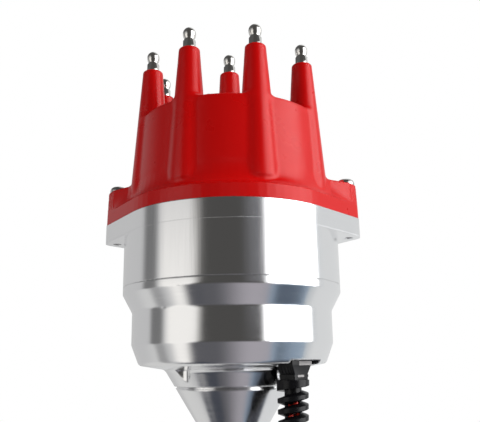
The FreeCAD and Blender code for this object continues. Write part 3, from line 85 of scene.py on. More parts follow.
# Most of a noise texture's values lie between these two
NOISE_LOW = 0.15
NOISE_HIGH = 0.85
# Scale of the uneven gloss, strength of the grain, and bump depth in metres
GLOSS_SCALE = 60.0
GRAIN_STRENGTH = 0.15
FINE_DEPTH = 0.00002
ALUMINIUM = (0.88, 0.88, 0.89)
# The raised line round the upper housing, and half the widths of that line and of the seam's groove
RING_LINE_Z = CAP_Z - 9.55
LINE_HALF = 0.16
GROOVE_HALF = 0.14

# Stage: the floor's half width and height in metres, its own grey and how pale the camera sees it
FLOOR_HALF = 2.6
FLOOR_Z = -0.262
FLOOR_GREY = 0.24
FLOOR_PALE = 0.90
# The world's strength on matt surfaces, the grey of the room between its cards, and what the lamps aim at
MATT_LIGHT = 0.12
ROOM_GREY = 0.55
LAMP_AIM = Vector((0, 0, 0.1))


def place_camera():
    """A camera below the cap that looks up at the distributor, turned a little to one side of the ears."""
    pitch, roll, yaw, turn = (math.radians(a) for a in (CAMERA_PITCH, CAMERA_ROLL, CAMERA_YAW, CAMERA_TURN))
    forward = Vector((0, math.cos(pitch), math.sin(pitch)))
    right = Vector((1, 0, 0))
    up = Vector((0, -math.sin(pitch), math.cos(pitch)))
    right, up = (math.cos(roll) * right - math.sin(roll) * up, math.sin(roll) * right + math.cos(roll) * up)
    forward, right = (math.cos(yaw) * forward + math.sin(yaw) * right,
                      math.cos(yaw) * right - math.sin(yaw) * forward)
    about_z = Matrix.Rotation(turn, 3, "Z")
    axes = [about_z @ axis for axis in (right, up, -forward)]
    data = bpy.data.cameras.new("photo_camera")
    data.lens = CAMERA_LENS
    data.sensor_width = CAMERA_SENSOR
    data.clip_start = CAMERA_NEAR
    camera = bpy.data.objects.new("photo_camera", data)
    bpy.context.scene.collection.objects.link(camera)
    facing = Matrix((axes[0], axes[1], axes[2])).transposed().to_4x4()
    camera.matrix_world = Matrix.Translation(about_z @ Vector(CAMERA_PLACE)) @ facing
    bpy.context.scene.camera = camera


# Shader helpers
def new_material(name, colour, roughness, metallic=0.0):
    material = bpy.data.materials.new(name)
    material.use_nodes = True
    shader = material.node_tree.nodes["Principled BSDF"]
    shader.inputs["Base Color"].default_value = (*colour, 1.0)
    shader.inputs["Roughness"].default_value = roughness
    shader.inputs["Metallic"].default_value = metallic
    return material, material.node_tree, shader


def noise(tree, scale, stretch=(1.0, 1.0, 1.0), detail=3.0):
    """A noise texture in the object's own space. A larger stretch makes it finer along that axis."""
    place = tree.nodes.new("ShaderNodeTexCoord")
    mapping = tree.nodes.new("ShaderNodeMapping")
    mapping.inputs["Scale"].default_value = stretch
    texture = tree.nodes.new("ShaderNodeTexNoise")
    texture.inputs["Scale"].default_value = scale
    texture.inputs["Detail"].default_value = detail
    tree.links.new(place.outputs["Object"], mapping.inputs["Vector"])
    tree.links.new(mapping.outputs["Vector"], texture.inputs["Vector"])
    return texture.outputs["Fac"]


def spread(tree, value, low, high):
    """Spread a noise texture's value over a range."""
    node = tree.nodes.new("ShaderNodeMapRange")
    node.interpolation_type = "SMOOTHSTEP"
    node.inputs["From Min"].default_value = NOISE_LOW
    node.inputs["From Max"].default_value = NOISE_HIGH
    node.inputs["To Min"].default_value = low
    node.inputs["To Max"].default_value = high
    tree.links.new(value, node.inputs["Value"])
    return node.outputs["Result"]


def blend(tree, share, first, second):
    """Mix two colours, each given as numbers or as a socket."""
    node = tree.nodes.new("ShaderNodeMix")
    node.data_type = "RGBA"
    tree.links.new(share, node.inputs["Factor"])
    sockets = [socket for socket in node.inputs if socket.type == "RGBA"]
    for socket, value in zip(sockets, (first, second)):
        if isinstance(value, tuple):
            socket.default_value = (*value, 1.0)
        else:
            tree.links.new(value, socket)
    return next(socket for socket in node.outputs if socket.type == "RGBA")


def add_bump(tree, shader, height, strength, depth):
    """Bump from a height socket; depth is in metres."""
    bump = tree.nodes.new("ShaderNodeBump")
    bump.inputs["Strength"].default_value = strength
    bump.inputs["Distance"].default_value = depth
    tree.links.new(height, bump.inputs["Height"])
    tree.links.new(bump.outputs["Normal"], shader.inputs["Normal"])


def bump_of(material):
    return next(node for node in material.node_tree.nodes if node.type == "BUMP")


def plastic(name, colour, low, high, grain=900.0, depth=FINE_DEPTH, specular=0.5):
    """Moulded plastic: even colour, roughness that wanders from low to high, and a faint grain."""
    material, tree, shader = new_material(name, colour, low)
    shader.inputs["Specular IOR Level"].default_value = specular
    tree.links.new(spread(tree, noise(tree, GLOSS_SCALE), low, high), shader.inputs["Roughness"])
    add_bump(tree, shader, noise(tree, grain), GRAIN_STRENGTH, depth)
    return material


def metal(name, colour, low, high, stretch=(1.0, 1.0, 1.0), scale=200.0, bump=0.0, anisotropic=0.0):
    """Machined metal: roughness that varies along the tool's path, with fine grooves where bump is given."""
    material, tree, shader = new_material(name, colour, low, 1.0)
    marks = noise(tree, scale, stretch)
    tree.links.new(spread(tree, marks, low, high), shader.inputs["Roughness"])
    if anisotropic:
        quarter_turn = 0.25
        shader.inputs["Anisotropic"].default_value = anisotropic
        shader.inputs["Anisotropic Rotation"].default_value = quarter_turn
        tangent = tree.nodes.new("ShaderNodeTangent")
        tangent.direction_type = "RADIAL"
        tangent.axis = "Z"
        tree.links.new(tangent.outputs["Tangent"], shader.inputs["Tangent"])
    if bump:
        add_bump(tree, shader, marks, bump, FINE_DEPTH)
    return material


def soften_edges(material, radius):
    """Shade sharp edges as if they were rounded by a radius."""
    bevel = material.node_tree.nodes.new("ShaderNodeBevel")
    bevel.samples = 6
    bevel.inputs["Radius"].default_value = radius * MM
    material.node_tree.links.new(bevel.outputs["Normal"], bump_of(material).inputs["Normal"])


def add_ring_line(material, height, half, rise):
    """A line round a part at one height, added to its bump: raised, or a groove where rise is negative."""
    tree = material.node_tree
    place = tree.nodes.new("ShaderNodeTexCoord")
    split = tree.nodes.new("ShaderNodeSeparateXYZ")
    tree.links.new(place.outputs["Object"], split.inputs[0])
    near = tree.nodes.new("ShaderNodeMath")
    near.operation = "COMPARE"
    near.inputs[1].default_value = height * MM
    near.inputs[2].default_value = half * MM
    tree.links.new(split.outputs["Z"], near.inputs[0])
    total = tree.nodes.new("ShaderNodeMath")
    total.operation = "MULTIPLY_ADD"
    total.inputs[1].default_value = rise
    bump_height = bump_of(material).inputs["Height"]
    tree.links.new(near.outputs[0], total.inputs[0])
    tree.links.new(bump_height.links[0].from_socket, total.inputs[2])
    tree.links.new(total.outputs[0], bump_height)


# Materials. The two numbers after a colour are the lowest and highest roughness.
def upper_aluminium():
    """The upper housing's finish: upright tool marks, a thin raised line and half of the seam's groove."""
    upright = (6.0, 6.0, 0.12)
    material = metal("upper_finish", ALUMINIUM, 0.13, 0.22, upright, 260.0, bump=0.35, anisotropic=0.5)
    add_ring_line(material, RING_LINE_Z, LINE_HALF, 12.0)
    add_ring_line(material, SEAM_Z, GROOVE_HALF, -14.0)
    soften_edges(material, 0.5)
    return material


def turned_aluminium():
    """The lower housing's finish: fine turned rings and the other half of the seam's groove."""
    around = (0.1, 0.1, 5.0)
    material = metal("machined_aluminium", ALUMINIUM, 0.13, 0.19, around, 260.0, bump=0.05, anisotropic=0.5)
    add_ring_line(material, SEAM_Z, GROOVE_HALF, -60.0)
    soften_edges(material, 1.3)
    return material


def other_metals():
    return {
        "terminal_steel": metal("terminal_steel", (0.80, 0.78, 0.75), 0.07, 0.11),
        "screw_steel": metal("screw_steel", (0.66, 0.65, 0.64), 0.18, 0.26),
        "shaft_steel": metal("shaft_steel", (0.72, 0.72, 0.73), 0.14, 0.22, (30.0, 30.0, 900.0), 1.0),
        "hardened_steel": metal("hardened_steel", (0.42, 0.42, 0.44), 0.24, 0.34),
        "gear_iron": metal("gear_iron", (0.34, 0.33, 0.32), 0.34, 0.48, bump=0.1),
        "bronze": metal("bronze", (0.62, 0.42, 0.22), 0.28, 0.38),
        "brass": metal("brass", (0.80, 0.62, 0.30), 0.18, 0.26),
        "plated_plate": metal("plated_plate", (0.62, 0.58, 0.42), 0.26, 0.36),
    }


def plastics_and_rubber():
    return {
        "cap_red": plastic("cap_red", (0.50, 0.0008, 0.0006), 0.26, 0.32, specular=0.30),
        "rotor_red": plastic("rotor_red", (0.45, 0.006, 0.007), 0.34, 0.42),
        "wire_red": plastic("wire_red", (0.45, 0.02, 0.01), 0.30, 0.38),
        "carbon": plastic("carbon", (0.03, 0.03, 0.03), 0.45, 0.55),
        "module_black": plastic("module_black", (0.025, 0.025, 0.027), 0.42, 0.52),
        "plug_black": plastic("plug_black", (0.022, 0.022, 0.024), 0.36, 0.46),
        "rubber_black": plastic("rubber_black", (0.005, 0.005, 0.006), 0.24, 0.34, 400.0, 0.00004, 0.22),
        "rubber_worn": plastic("rubber_worn", (0.30, 0.29, 0.29), 0.40, 0.55, depth=0.00008),
        "sleeve_black": plastic("sleeve_black", (0.016, 0.016, 0.017), 0.50, 0.62, 500.0, 0.00005),
    }


def make_materials():
    """Every finish under its name in the record. Blender numbers those whose name the frame already has."""
    made = {"upper_finish": upper_aluminium(), "machined_aluminium": turned_aluminium()}
    return made | other_metals() | plastics_and_rubber()


# Mesh helpers
def add_object(name, mesh, material):
    mesh.materials.append(material)
    piece = bpy.data.objects.new(name, mesh)
    bpy.context.scene.collection.objects.link(piece)
    return piece


def mesh_from(name, points, faces, smooth=True):
    """A mesh from points in millimetres."""
    mesh = bpy.data.meshes.new(name)
    mesh.from_pydata([tuple(float(v) * MM for v in point) for point in points], [], faces)
    mesh.update()
    mesh.polygons.foreach_set("use_smooth", [smooth] * len(mesh.polygons))
    return mesh


def lathe(profile, count):
    """Points and faces of an outline of radius and height turned about Z."""
    points, faces, rows = [], [], []
    for radius, height in profile:
        around = count if radius > 0 else 1
        rows.append([len(points) + index for index in range(around)])
        for index in range(around):
            angle = 2 * math.pi * index / count
            points.append((radius * math.cos(angle), radius * math.sin(angle), height))
    for low, high in zip(rows, rows[1:]):
        for index in range(count):
            a, b = low[index % len(low)], low[(index + 1) % len(low)]
            c, d = high[(index + 1) % len(high)], high[index % len(high)]
            corners = [a, b, c, d]
            face = [v for place, v in enumerate(corners) if v not in corners[:place]]
            if len(face) > 2:
                faces.append(face)
    return points, faces


def joined(parts):
    """Several sets of points and faces as one set."""
    points, faces = [], []
    for some_points, some_faces in parts:
        base = len(points)
        points += list(some_points)
        faces += [[v + base for v in face] for face in some_faces]
    return points, faces


def placed(part, offset=(0.0, 0.0, 0.0), turned=0.0):
    """Points and faces turned about Z by degrees, then moved."""
    c, s = math.cos(math.radians(turned)), math.sin(math.radians(turned))
    points = [(x * c - y * s + offset[0], x * s + y * c + offset[1], z + offset[2]) for x, y, z in part[0]]
    return points, part[1]


def on_circle(radius, angle):
    return radius * math.cos(math.radians(angle)), radius * math.sin(math.radians(angle))


def box_mesh(low, high):
    corners = [(x, y, z) for x in (low[0], high[0]) for y in (low[1], high[1]) for z in (low[2], high[2])]
    return corners, [[0, 1, 3, 2], [4, 6, 7, 5], [0, 4, 5, 1], [2, 3, 7, 6], [0, 2, 6, 4], [1, 5, 7, 3]]


def skin(rings):
    """Faces between rings of equally many points, closed at both ends."""
    count = len(rings[0])
    points = [point for ring in rings for point in ring]
    faces = [list(range(count))[::-1], [count * (len(rings) - 1) + i for i in range(count)]]
    for row in range(len(rings) - 1):
        for index in range(count):
            a = row * count + index
            b = row * count + (index + 1) % count
            faces.append([a, b, b + count, a + count])
    return points, faces


def tube(points, radius, count):
    """A closed tube through points, with round sections square to its path."""
    rings = []
    side = None
    for index, here in enumerate(points):
        here = Vector(here)
        ahead = Vector(points[min(index + 1, len(points) - 1)])
        behind = Vector(points[max(index - 1, 0)])
        along = (ahead - behind).normalized()
        side = along.orthogonal() if side is None else side - along * side.dot(along)
        side = side.normalized()
        other = along.cross(side)
        rings.append([tuple(here + radius * (math.cos(a) * side + math.sin(a) * other))
                      for a in (2 * math.pi * k / count for k in range(count))])
    return skin(rings)


def crease(piece, angle):
    """Keep edges sharper than an angle crisp while the rest shades smoothly."""
    mesh = piece.data
    edit = bmesh.new()
    edit.from_mesh(mesh)
    limit = math.radians(angle)
    for edge in edit.edges:
        sharp = len(edge.link_faces) == 2 and edge.calc_face_angle(0.0) > limit
        edge.smooth = not sharp
    edit.to_mesh(mesh)
    edit.free()


def cut(piece, tool):
    """Take one mesh object out of another."""
    modifier = piece.modifiers.new("cut", "BOOLEAN")
    modifier.operation = "DIFFERENCE"
    modifier.solver = "EXACT"
    modifier.object = tool
    graph = bpy.context.evaluated_depsgraph_get()
    mesh = bpy.data.meshes.new_from_object(piece.evaluated_get(graph))
    piece.modifiers.clear()
    piece.data = mesh
    bpy.data.objects.remove(tool)


def stands_for(piece, body, slot, *nodes):
    """Ride the piece on a body, and hide the CAD nodes that it replaces."""
    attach(piece, body)
    if nodes:
        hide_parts(*nodes)
    return piece


# Distance fields, for shapes that flow into each other
def outline_distance(points, u, v):
    """Signed distance from points (u, v) to a closed outline, negative inside."""
    best = np.full(u.shape, 1e9)
    inside = np.zeros(u.shape, bool)
    for (x1, y1), (x2, y2) in zip(points, points[1:] + points[:1]):
        ex, ey = x2 - x1, y2 - y1
        wx, wy = u - x1, v - y1
        share = np.clip((wx * ex + wy * ey) / (ex * ex + ey * ey), 0, 1)
        best = np.minimum(best, (wx - ex * share) ** 2 + (wy - ey * share) ** 2)
        crosses = (y1 <= v) != (y2 <= v)
        with np.errstate(divide="ignore", invalid="ignore"):
            hit = u < x1 + (v - y1) * ex / (ey if ey else 1e-12)
        inside ^= crosses & hit
    return np.where(inside, -1, 1) * np.sqrt(best)


class Table:
    """Distances to an outline, kept on a fine grid and read between its points."""

    pitch = 0.2

    def __init__(self, points, low, high):
        self.low = low
        u = np.arange(low[0], high[0] + self.pitch, self.pitch)
        v = np.arange(low[1], high[1] + self.pitch, self.pitch)
        self.grid = outline_distance(points, *np.meshgrid(u, v, indexing="ij"))

    def read(self, u, v):
        """The distance at (u, v), or at the grid's edge for a point beyond it."""
        inset = 1.001
        a = np.clip((u - self.low[0]) / self.pitch, 0, self.grid.shape[0] - inset)
        b = np.clip((v - self.low[1]) / self.pitch, 0, self.grid.shape[1] - inset)
        i, j = a.astype(np.int32), b.astype(np.int32)
        a, b = a - i, b - j
        grid = self.grid
        return ((grid[i, j] * (1 - a) + grid[i + 1, j] * a) * (1 - b)
                + (grid[i, j + 1] * (1 - a) + grid[i + 1, j + 1] * a) * b)


def melt(a, b, width):
    """Union of two distances with a fillet about as wide as width."""
    share = np.clip(0.5 + 0.5 * (b - a) / width, 0, 1)
    return b + (a - b) * share - width * share * (1 - share)


def mesh_field(field, low, high, pitch):
    """Points and faces where a distance field is zero, moved onto the surface in a few small steps."""
    # The slope is read this far either side of a point, and one move is at most a part of a cell
    passes = 3
    probe = 0.05
    flattest = 0.2
    longest_move = 0.4 * pitch
    # The grid keeps distances only this near the surface
    kept = 3 * pitch
    axes = [np.arange(a, b + pitch, pitch) for a, b in zip(low, high)]
    grid = openvdb.FloatGrid()
    x, y = np.meshgrid(axes[0], axes[1], indexing="ij")
    values = np.empty([len(a) for a in axes], np.float32)
    for index, height in enumerate(axes[2]):
        values[:, :, index] = field(x, y, np.full_like(x, height))
    grid.copyFromArray(np.clip(values, -kept, kept))
    points, faces = grid.convertToQuads(isovalue=0.0)
    points = points.astype(float) * pitch + np.array(low)
    for _ in range(passes):
        x, y, z = points.T
        value = field(x, y, z)
        slope = np.stack([
            (field(x + probe, y, z) - field(x - probe, y, z)) / (2 * probe),
            (field(x, y + probe, z) - field(x, y - probe, z)) / (2 * probe),
            (field(x, y, z + probe) - field(x, y, z - probe)) / (2 * probe)], 1)
        length = np.maximum((slope ** 2).sum(1), flattest)
        move = -(value / length)[:, None] * slope
        reach = np.linalg.norm(move, axis=1, keepdims=True)
        points = points + move * np.minimum(1, longest_move / np.maximum(reach, 1e-9))
    return points, faces


# The cap
def ear_outline(main, reach, tip, steps=24):
    """Round outline with an ear at each end of X, joined by tangent lines."""
    lean = math.acos((main - tip) / reach)
    points = []
    for centre, radius, start, end in ((reach, tip, -lean, lean), (0, main, lean, math.pi - lean),
                                       (-reach, tip, math.pi - lean, math.pi + lean),
                                       (0, main, math.pi + lean, 2 * math.pi - lean)):
        for step in range(steps + 1):
            angle = start + (end - start) * step / steps
            points.append((centre + radius * math.cos(angle), radius * math.sin(angle)))
    return points


class CapField:
    """Distance field of the cap above its base plane."""

    base_radius = 56.8
    ear_radius = 5.85
    draft = 0.02
    band = 7.5
    flare_run = 4.5
    flare_rise = 13.0
    flare_lean = 0.55
    # Just under 1, so that the flare's curve has no upright end
    flare_end = 0.998
    # Over the ears the flare gets steeper, from this distance along X
    ear_start = 54
    ear_fade = 10
    ear_steeper = 4.2
    wall_foot = 52.2
    wall_bend = 20.5
    wall_head = 50.0
    roof = 54.7
    wall_round = 0.8
    wall_fillet = 1.6
    tower_top = 83.2
    tower_tip = 5.5
    tower_round = 0.9
    tower_fillet = 1.2
    # How much wider the towers' fillet is above the roof, and the heights between which it widens
    roof_fillet = 1.6
    roof_fillet_start = 50
    roof_fillet_fade = 5
    centre_top = 88.1
    centre_foot = 7.5
    centre_fillet = 4.0
    pip_place = (*on_circle(45.5, -59.0), 54.6)
    pip_radius = 2.2
    pip_fillet = 0.4

    def __init__(self):
        """Outlines of radius and height; those that reach the axis close beyond it."""
        span = ((-1.0, -8.0), (76.0, 96.0))
        tower_span = ((-1.0, -8.0), (90.0, 96.0))
        ear_span = ((-1.0, -1.0), (76.0, 62.0))
        foot, head = self.wall_foot - self.wall_round, self.wall_head - self.wall_round
        roof = self.roof - self.wall_round
        self.wall = Table([(-5, 0), (foot, 0), (foot, self.wall_bend), (head, roof), (-5, roof)], *span)
        tip, top = self.tower_tip - self.tower_round, self.tower_top - self.tower_round
        self.tower = Table([(-3, 7.4), (7.4, 7.4), (9.5, 12.5), (9.4, 16.5), (tip, top), (-3, top)],
                           *tower_span)
        foot, top = self.centre_foot - self.tower_round, self.centre_top - self.tower_round
        self.centre = Table([(-3, 50), (foot, 50), (tip, top), (-3, top)], *span)
        self.cavity = Table([(-5, -5), (47.4, -5), (47.4, 23), (33.9, 23), (33.9, 50.2), (8, 50.2), (8, 37),
                             (-5, 37)], *span)
        self.ears = Table(ear_outline(self.base_radius, EAR_REACH, self.ear_radius), *ear_span)
        self.lip = Table([(48.5, -2), (51.7, -2), (51.7, 1), (48.5, 1)], *span)

    def skirt(self, x, y, z):
        """The band with its ears, and the flare that rises from it to the wall and the screw seats."""
        base = self.ears.read(np.abs(x), np.abs(y)) + self.draft * z
        band = np.maximum(base, np.maximum(-z, z - self.band))
        run = self.flare_run - self.ear_steeper * np.clip((np.abs(x) - self.ear_start) / self.ear_fade, 0, 1)
        depth = np.clip(-base / run, 0, 1)
        ramp = self.band + self.flare_rise * (1 - np.sqrt(1 - depth * depth * self.flare_end))
        flare = np.maximum(np.maximum(base, -z), (z - np.minimum(ramp, EAR_SEAT)) * self.flare_lean)
        return np.minimum(band, flare)

    def towers(self, x, y, z, radius):
        """The nearest of the towers, which all have the same outline."""
        pitch = 2 * math.pi / TOWER_COUNT
        angle = np.arctan2(y, x) - math.radians(TOWER_FIRST_ANGLE)
        angle = angle - pitch * np.round(angle / pitch)
        aside = np.hypot(radius * np.cos(angle) - TOWER_CIRCLE, radius * np.sin(angle))
        return self.tower.read(aside, z) - self.tower_round

    def pip(self, x, y, z):
        """A low mark of the mould near the roof's edge, a flat ellipsoid 1 mm high."""
        pip_x, pip_y, pip_z = self.pip_place
        across = ((x - pip_x) / self.pip_radius) ** 2 + ((y - pip_y) / self.pip_radius) ** 2
        return np.sqrt(across + (z - pip_z) ** 2) - 1.0

    def __call__(self, x, y, z):
        radius = np.hypot(x, y)
        solid = melt(self.skirt(x, y, z), self.wall.read(radius, z) - self.wall_round, self.wall_fillet)
        above_roof = np.clip((z - self.roof_fillet_start) / self.roof_fillet_fade, 0, 1)
        solid = melt(solid, self.towers(x, y, z, radius), self.tower_fillet + self.roof_fillet * above_roof)
        solid = melt(solid, self.centre.read(radius, z) - self.tower_round, self.centre_fillet)
        solid = melt(solid, self.pip(x, y, z), self.pip_fillet)
        solid = np.maximum(solid, -z)
        solid = np.maximum(solid, -self.cavity.read(radius, z))
        return np.minimum(solid, self.lip.read(radius, z))


def build_cap(materials):
    """The cap's shell, meshed from its field in a box that holds it."""
    low, high = (-71.0, -59.0, -4.0), (71.0, 59.0, 93.0)
    pitch = 0.6
    points, faces = mesh_field(CapField(), low, high, pitch)
    points[:, 2] += CAP_Z
    mesh = bpy.data.meshes.new("cap_shell")
    mesh.vertices.add(len(points))
    mesh.vertices.foreach_set("co", (points * MM).astype(np.float32).ravel())
    mesh.loops.add(faces.size)
    mesh.loops.foreach_set("vertex_index", faces[:, ::-1].astype(np.int32).ravel())
    mesh.polygons.add(len(faces))
    mesh.polygons.foreach_set("loop_start", np.arange(0, faces.size, 4, dtype=np.int32))
    mesh.update(calc_edges=True)
    mesh.validate()
    mesh.polygons.foreach_set("use_smooth", [True] * len(mesh.polygons))
    piece = add_object("cap_shell", mesh, materials["cap_red"])
    crease(piece, angle=50.0)
    return stands_for(piece, "root", "cap_red", "distributor_cap")


# Terminals and screws
def terminal(top, foot):
    """One terminal post: a rod from foot up, a collar round top, a narrow waist and a ball head."""
    head_height, ball = 9.7, 3.4
    ball_z = top + head_height - ball
    profile = [(0, foot), (2.6, foot), (2.6, top - 3.2), (3.4, top - 3.1), (3.3, top + 1.9),
               (3.05, top + 2.2), (2.75, top + 2.5), (2.65, top + 2.9), (2.8, top + 3.5), (3.15, top + 4.3),
               (3.35, top + 5.2)]
    steps = 10
    highest = 82
    for step in range(steps + 1):
        angle = math.radians(highest) * step / steps
        profile.append((ball * math.cos(angle), ball_z + ball * math.sin(angle)))
    profile.append((0, ball_z + ball))
    return lathe(profile, count=40)


def add_terminals(name, parts, node, materials):
    piece = add_object(name, mesh_from(name, *parts), materials["terminal_steel"])
    crease(piece, angle=40.0)
    stands_for(piece, "root", "terminal_steel", node)


def build_terminals(materials):
    """A post in each tower. The tops here are those of the part's source, 2.8 mm above the shell's."""
    tower_top = CAP_Z + 86.0
    centre_top = CAP_Z + 90.9
    tower_foot = CAP_Z + 12.0
    centre_foot = CAP_Z + 40.0
    posts = []
    for index in range(TOWER_COUNT):
        x, y = on_circle(TOWER_CIRCLE, TOWER_FIRST_ANGLE + 360 / TOWER_COUNT * index)
        posts.append(placed(terminal(tower_top, tower_foot), (x, y, 0)))
    add_terminals("plug_terminals", joined(posts), "tower_terminals", materials)
    add_terminals("coil_terminal_post", terminal(centre_top, centre_foot), "centre_terminal", materials)


def build_cap_screws(materials):
    """Pan head screws with a cross recess, on the cap's two ears, with heights from the head's underside."""
    profile = [(0, -27.2), (1.7, -27.2), (2.2, -26.7), (2.2, 0), (4.5, 0), (4.7, 0.2), (4.7, 1.3),
               (4.55, 2.1), (4.15, 2.8), (3.4, 3.4), (2.2, 3.75), (0, 3.9)]
    slot = box_mesh((-2.5, -0.5, 2.0), (2.5, 0.5, 5.0))
    steel = materials["screw_steel"]
    screws = []
    slots = []
    for side, turned in ((1, 24.0), (-1, 61.0)):
        place = (side * EAR_REACH, 0, CAP_Z + EAR_SEAT)
        screws.append(placed(lathe(profile, count=48), place))
        for angle in (turned, turned + 90.0):
            slots.append(placed(slot, place, angle))
    piece = add_object("cap_screw_pair", mesh_from("cap_screw_pair", *joined(screws)), steel)
    for index, part in enumerate(slots):
        cut(piece, add_object(f"slot_{index}", mesh_from(f"slot_{index}", *part, False), steel))
    piece.data.polygons.foreach_set("use_smooth", [True] * len(piece.data.polygons))
    crease(piece, angle=30.0)
    return stands_for(piece, "root", "screw_steel", "cap_screws")


# The strain relief
def ring_section(half_x, half_y, corner, height, count=48):
    """A rounded rectangle at one height as a ring of points, by its half widths and its corners' radius."""
    points = []
    for index in range(count):
        angle = 2 * math.pi * (index + 0.5) / count
        quarter = math.floor(angle / (math.pi / 2))
        sign_x = 1 if quarter in (0, 3) else -1
        sign_y = 1 if quarter in (0, 1) else -1
        points.append((sign_x * (half_x - corner) + corner * math.cos(angle),
                       sign_y * (half_y - corner) + corner * math.sin(angle), height))
    return points


class TailField:
    """Distance field of the boot's collar, with its slanted lower edge, and the flights wound below it."""

    pitch = 5.0
    # Angle from which the winding is counted, and along which the tail stands off and bows
    start = 5.0
    offset = 0.55
    bow = 0.35
    seam = 95.0
    tip_z = 38.6
    tip_half = 1.05
    reach = 7.5
    reach_loss = 0.6
    flank_slope = 0.32
    flank_share = 0.93
    collar = 7.7
    collar_z = 43.1
    collar_top = 45.6
    core = 4.05
    # Heights above the tail's end where the flights, the core and the bore stop, and the collar's overlap
    flight_end = 1.6
    core_end = 0.1
    bore_end = 3
    collar_overlap = 2
    # Two windows between the flights, on opposite sides of the core, that show the wires
    window_angle = 85
    window_half = 48
    window_gap = 1.85
    window_top = 38.5
    window_foot = 12
    # Length of one degree round the core
    degree_length = 0.07
    bore = 3.6
    bore_top = 42.5

    def flights(self, z, radius, wound, off, share):
        """Flights that taper to their tips and get shorter downwards."""
        reach = self.reach - self.reach_loss * share
        flank = self.tip_half + (reach - radius) * self.flank_slope
        flight = np.maximum(radius - reach, (off - flank) * self.flank_share)
        ends = np.maximum(wound - self.collar_z + self.collar_overlap, TAIL_END_Z + self.flight_end - z)
        return np.maximum(flight, ends)

    def windows(self, z, angle, off):
        turned = np.abs((angle + self.window_angle + 90) % 180 - 90)
        sides = np.maximum((turned - self.window_half) * self.degree_length, self.window_gap - off)
        return np.maximum(sides, np.maximum(z - self.window_top, self.window_foot - z))

    def __call__(self, x, y, z):
        share = np.clip((self.collar_top - z) / (self.collar_top - TAIL_END_Z), 0, 1)
        aside_x, aside_y = on_circle(-self.offset - self.bow * np.sin(math.pi * share), self.start)
        x, y = x - aside_x, y - aside_y
        radius = np.hypot(x, y)
        angle = np.degrees(np.arctan2(y, x))
        angle = np.where(angle > self.seam, angle - 360, angle)
        wound = z - self.pitch * (angle - self.start) / 360
        off = np.abs((wound - self.tip_z + self.pitch / 2) % self.pitch - self.pitch / 2)
        collar = np.maximum(radius - self.collar, np.maximum(z - self.collar_top, self.collar_z - wound))
        core = np.maximum(radius - self.core, TAIL_END_Z + self.core_end - z)
        solid = np.minimum(np.minimum(self.flights(z, radius, wound, off, share), collar),
                           np.maximum(core, -self.windows(z, angle, off)))
        solid = np.maximum(solid, z - self.collar_top)
        bore_ends = np.maximum(z - self.bore_top, TAIL_END_Z + self.bore_end - z)
        hollow = np.maximum(radius - self.bore, bore_ends)
        return np.maximum(solid, -hollow)


def bar(high, low, half, proud):
    """A thin upright rib that follows a sloping face, from its high end to its low end."""
    points = [(x + dx, y + dy, z) for x, y, z in (high, low) for dx, dy in
              ((-half, proud), (half, proud), (half, 0.0), (-half, 0.0))]
    faces = [[3, 2, 1, 0], [4, 5, 6, 7]]
    for index in range(4):
        ahead = (index + 1) % 4
        faces.append([index, ahead, ahead + 4, index + 4])
    return points, faces


def boot_neck():
    """Flange, sloping neck with ribs, lip and foot, with heights from the bowl's underside."""
    flange_and_neck = skin([ring_section(5.0, 7.5, 0.4, 3.8), ring_section(5.0, 7.5, 0.4, 1.7),
                            ring_section(4.9, 7.35, 0.4, 1.4), ring_section(4.5, 5.3, 0.8, -2.7)])
    lip = skin([ring_section(4.6, 5.6, 0.6, -2.7), ring_section(4.6, 5.6, 0.6, -3.9)])
    foot = skin([ring_section(4.5, 5.4, 0.8, -3.8), ring_section(4.5, 5.4, 0.8, -5.4)])
    ribs = []
    for along in (-2.4, -0.4, 1.4, 3.0):
        ribs.append(bar((along, -7.5, 1.3), (along, -5.75, -2.4), half=0.28, proud=0.55))
    return joined([flange_and_neck, lip, foot] + ribs)


def boot_tail():
    """The collar and the wound tail, meshed from their field in a box that holds them."""
    low, high = (-9.2, -9.2, 6.0), (9.2, 9.2, 47.0)
    pitch = 0.42
    points, faces = mesh_field(TailField(), low, high, pitch)
    return [tuple(point) for point in points], [list(face)[::-1] for face in faces]


def boot_wires(x, y):
    """The lead's three wires, laid round each other inside the tail."""
    top_z, drop = 42.4, 30.8
    twist = 260.0
    circle, shift = 2.1, -0.8
    wire_radius = 1.28
    steps = 30
    wires = []
    for index in range(3):
        path = []
        for step in range(steps + 1):
            down = step / steps
            wire_x, wire_y = on_circle(circle, 120.0 * index + twist * down)
            path.append((x + wire_x + shift, y + wire_y, top_z - drop * down))
        wires.append(tube(path, wire_radius, count=12))
    return joined(wires)


def build_boot(materials):
    """Rubber strain relief: neck, collar and a tail wound like a screw, with two worn faces and the wires."""
    x, y = on_circle(BOOT_CIRCLE, BOOT_ANGLE)
    parts = joined([placed(boot_neck(), (x, y, UNDER_Z), BOOT_ANGLE), placed(boot_tail(), (x, y, 0))])
    piece = add_object("boot", mesh_from("boot", *parts), materials["rubber_black"])
    crease(piece, angle=38.0)
    stands_for(piece, "root", "rubber_black", "strain_relief")
    flange_face = box_mesh((4.9, -2.2, 1.5), (5.06, 7.6, 3.5))
    lip_face = box_mesh((4.5, -3.0, -3.85), (4.72, 1.7, -2.85))
    worn = placed(joined([flange_face, lip_face]), (x, y, UNDER_Z), BOOT_ANGLE)
    piece = add_object("boot_lips", mesh_from("boot_lips", *worn, False), materials["rubber_worn"])
    stands_for(piece, "root", "rubber_black")
    piece = add_object("boot_wires", mesh_from("boot_wires", *boot_wires(x, y)), materials["wire_red"])
    stands_for(piece, "root", "cap_red")


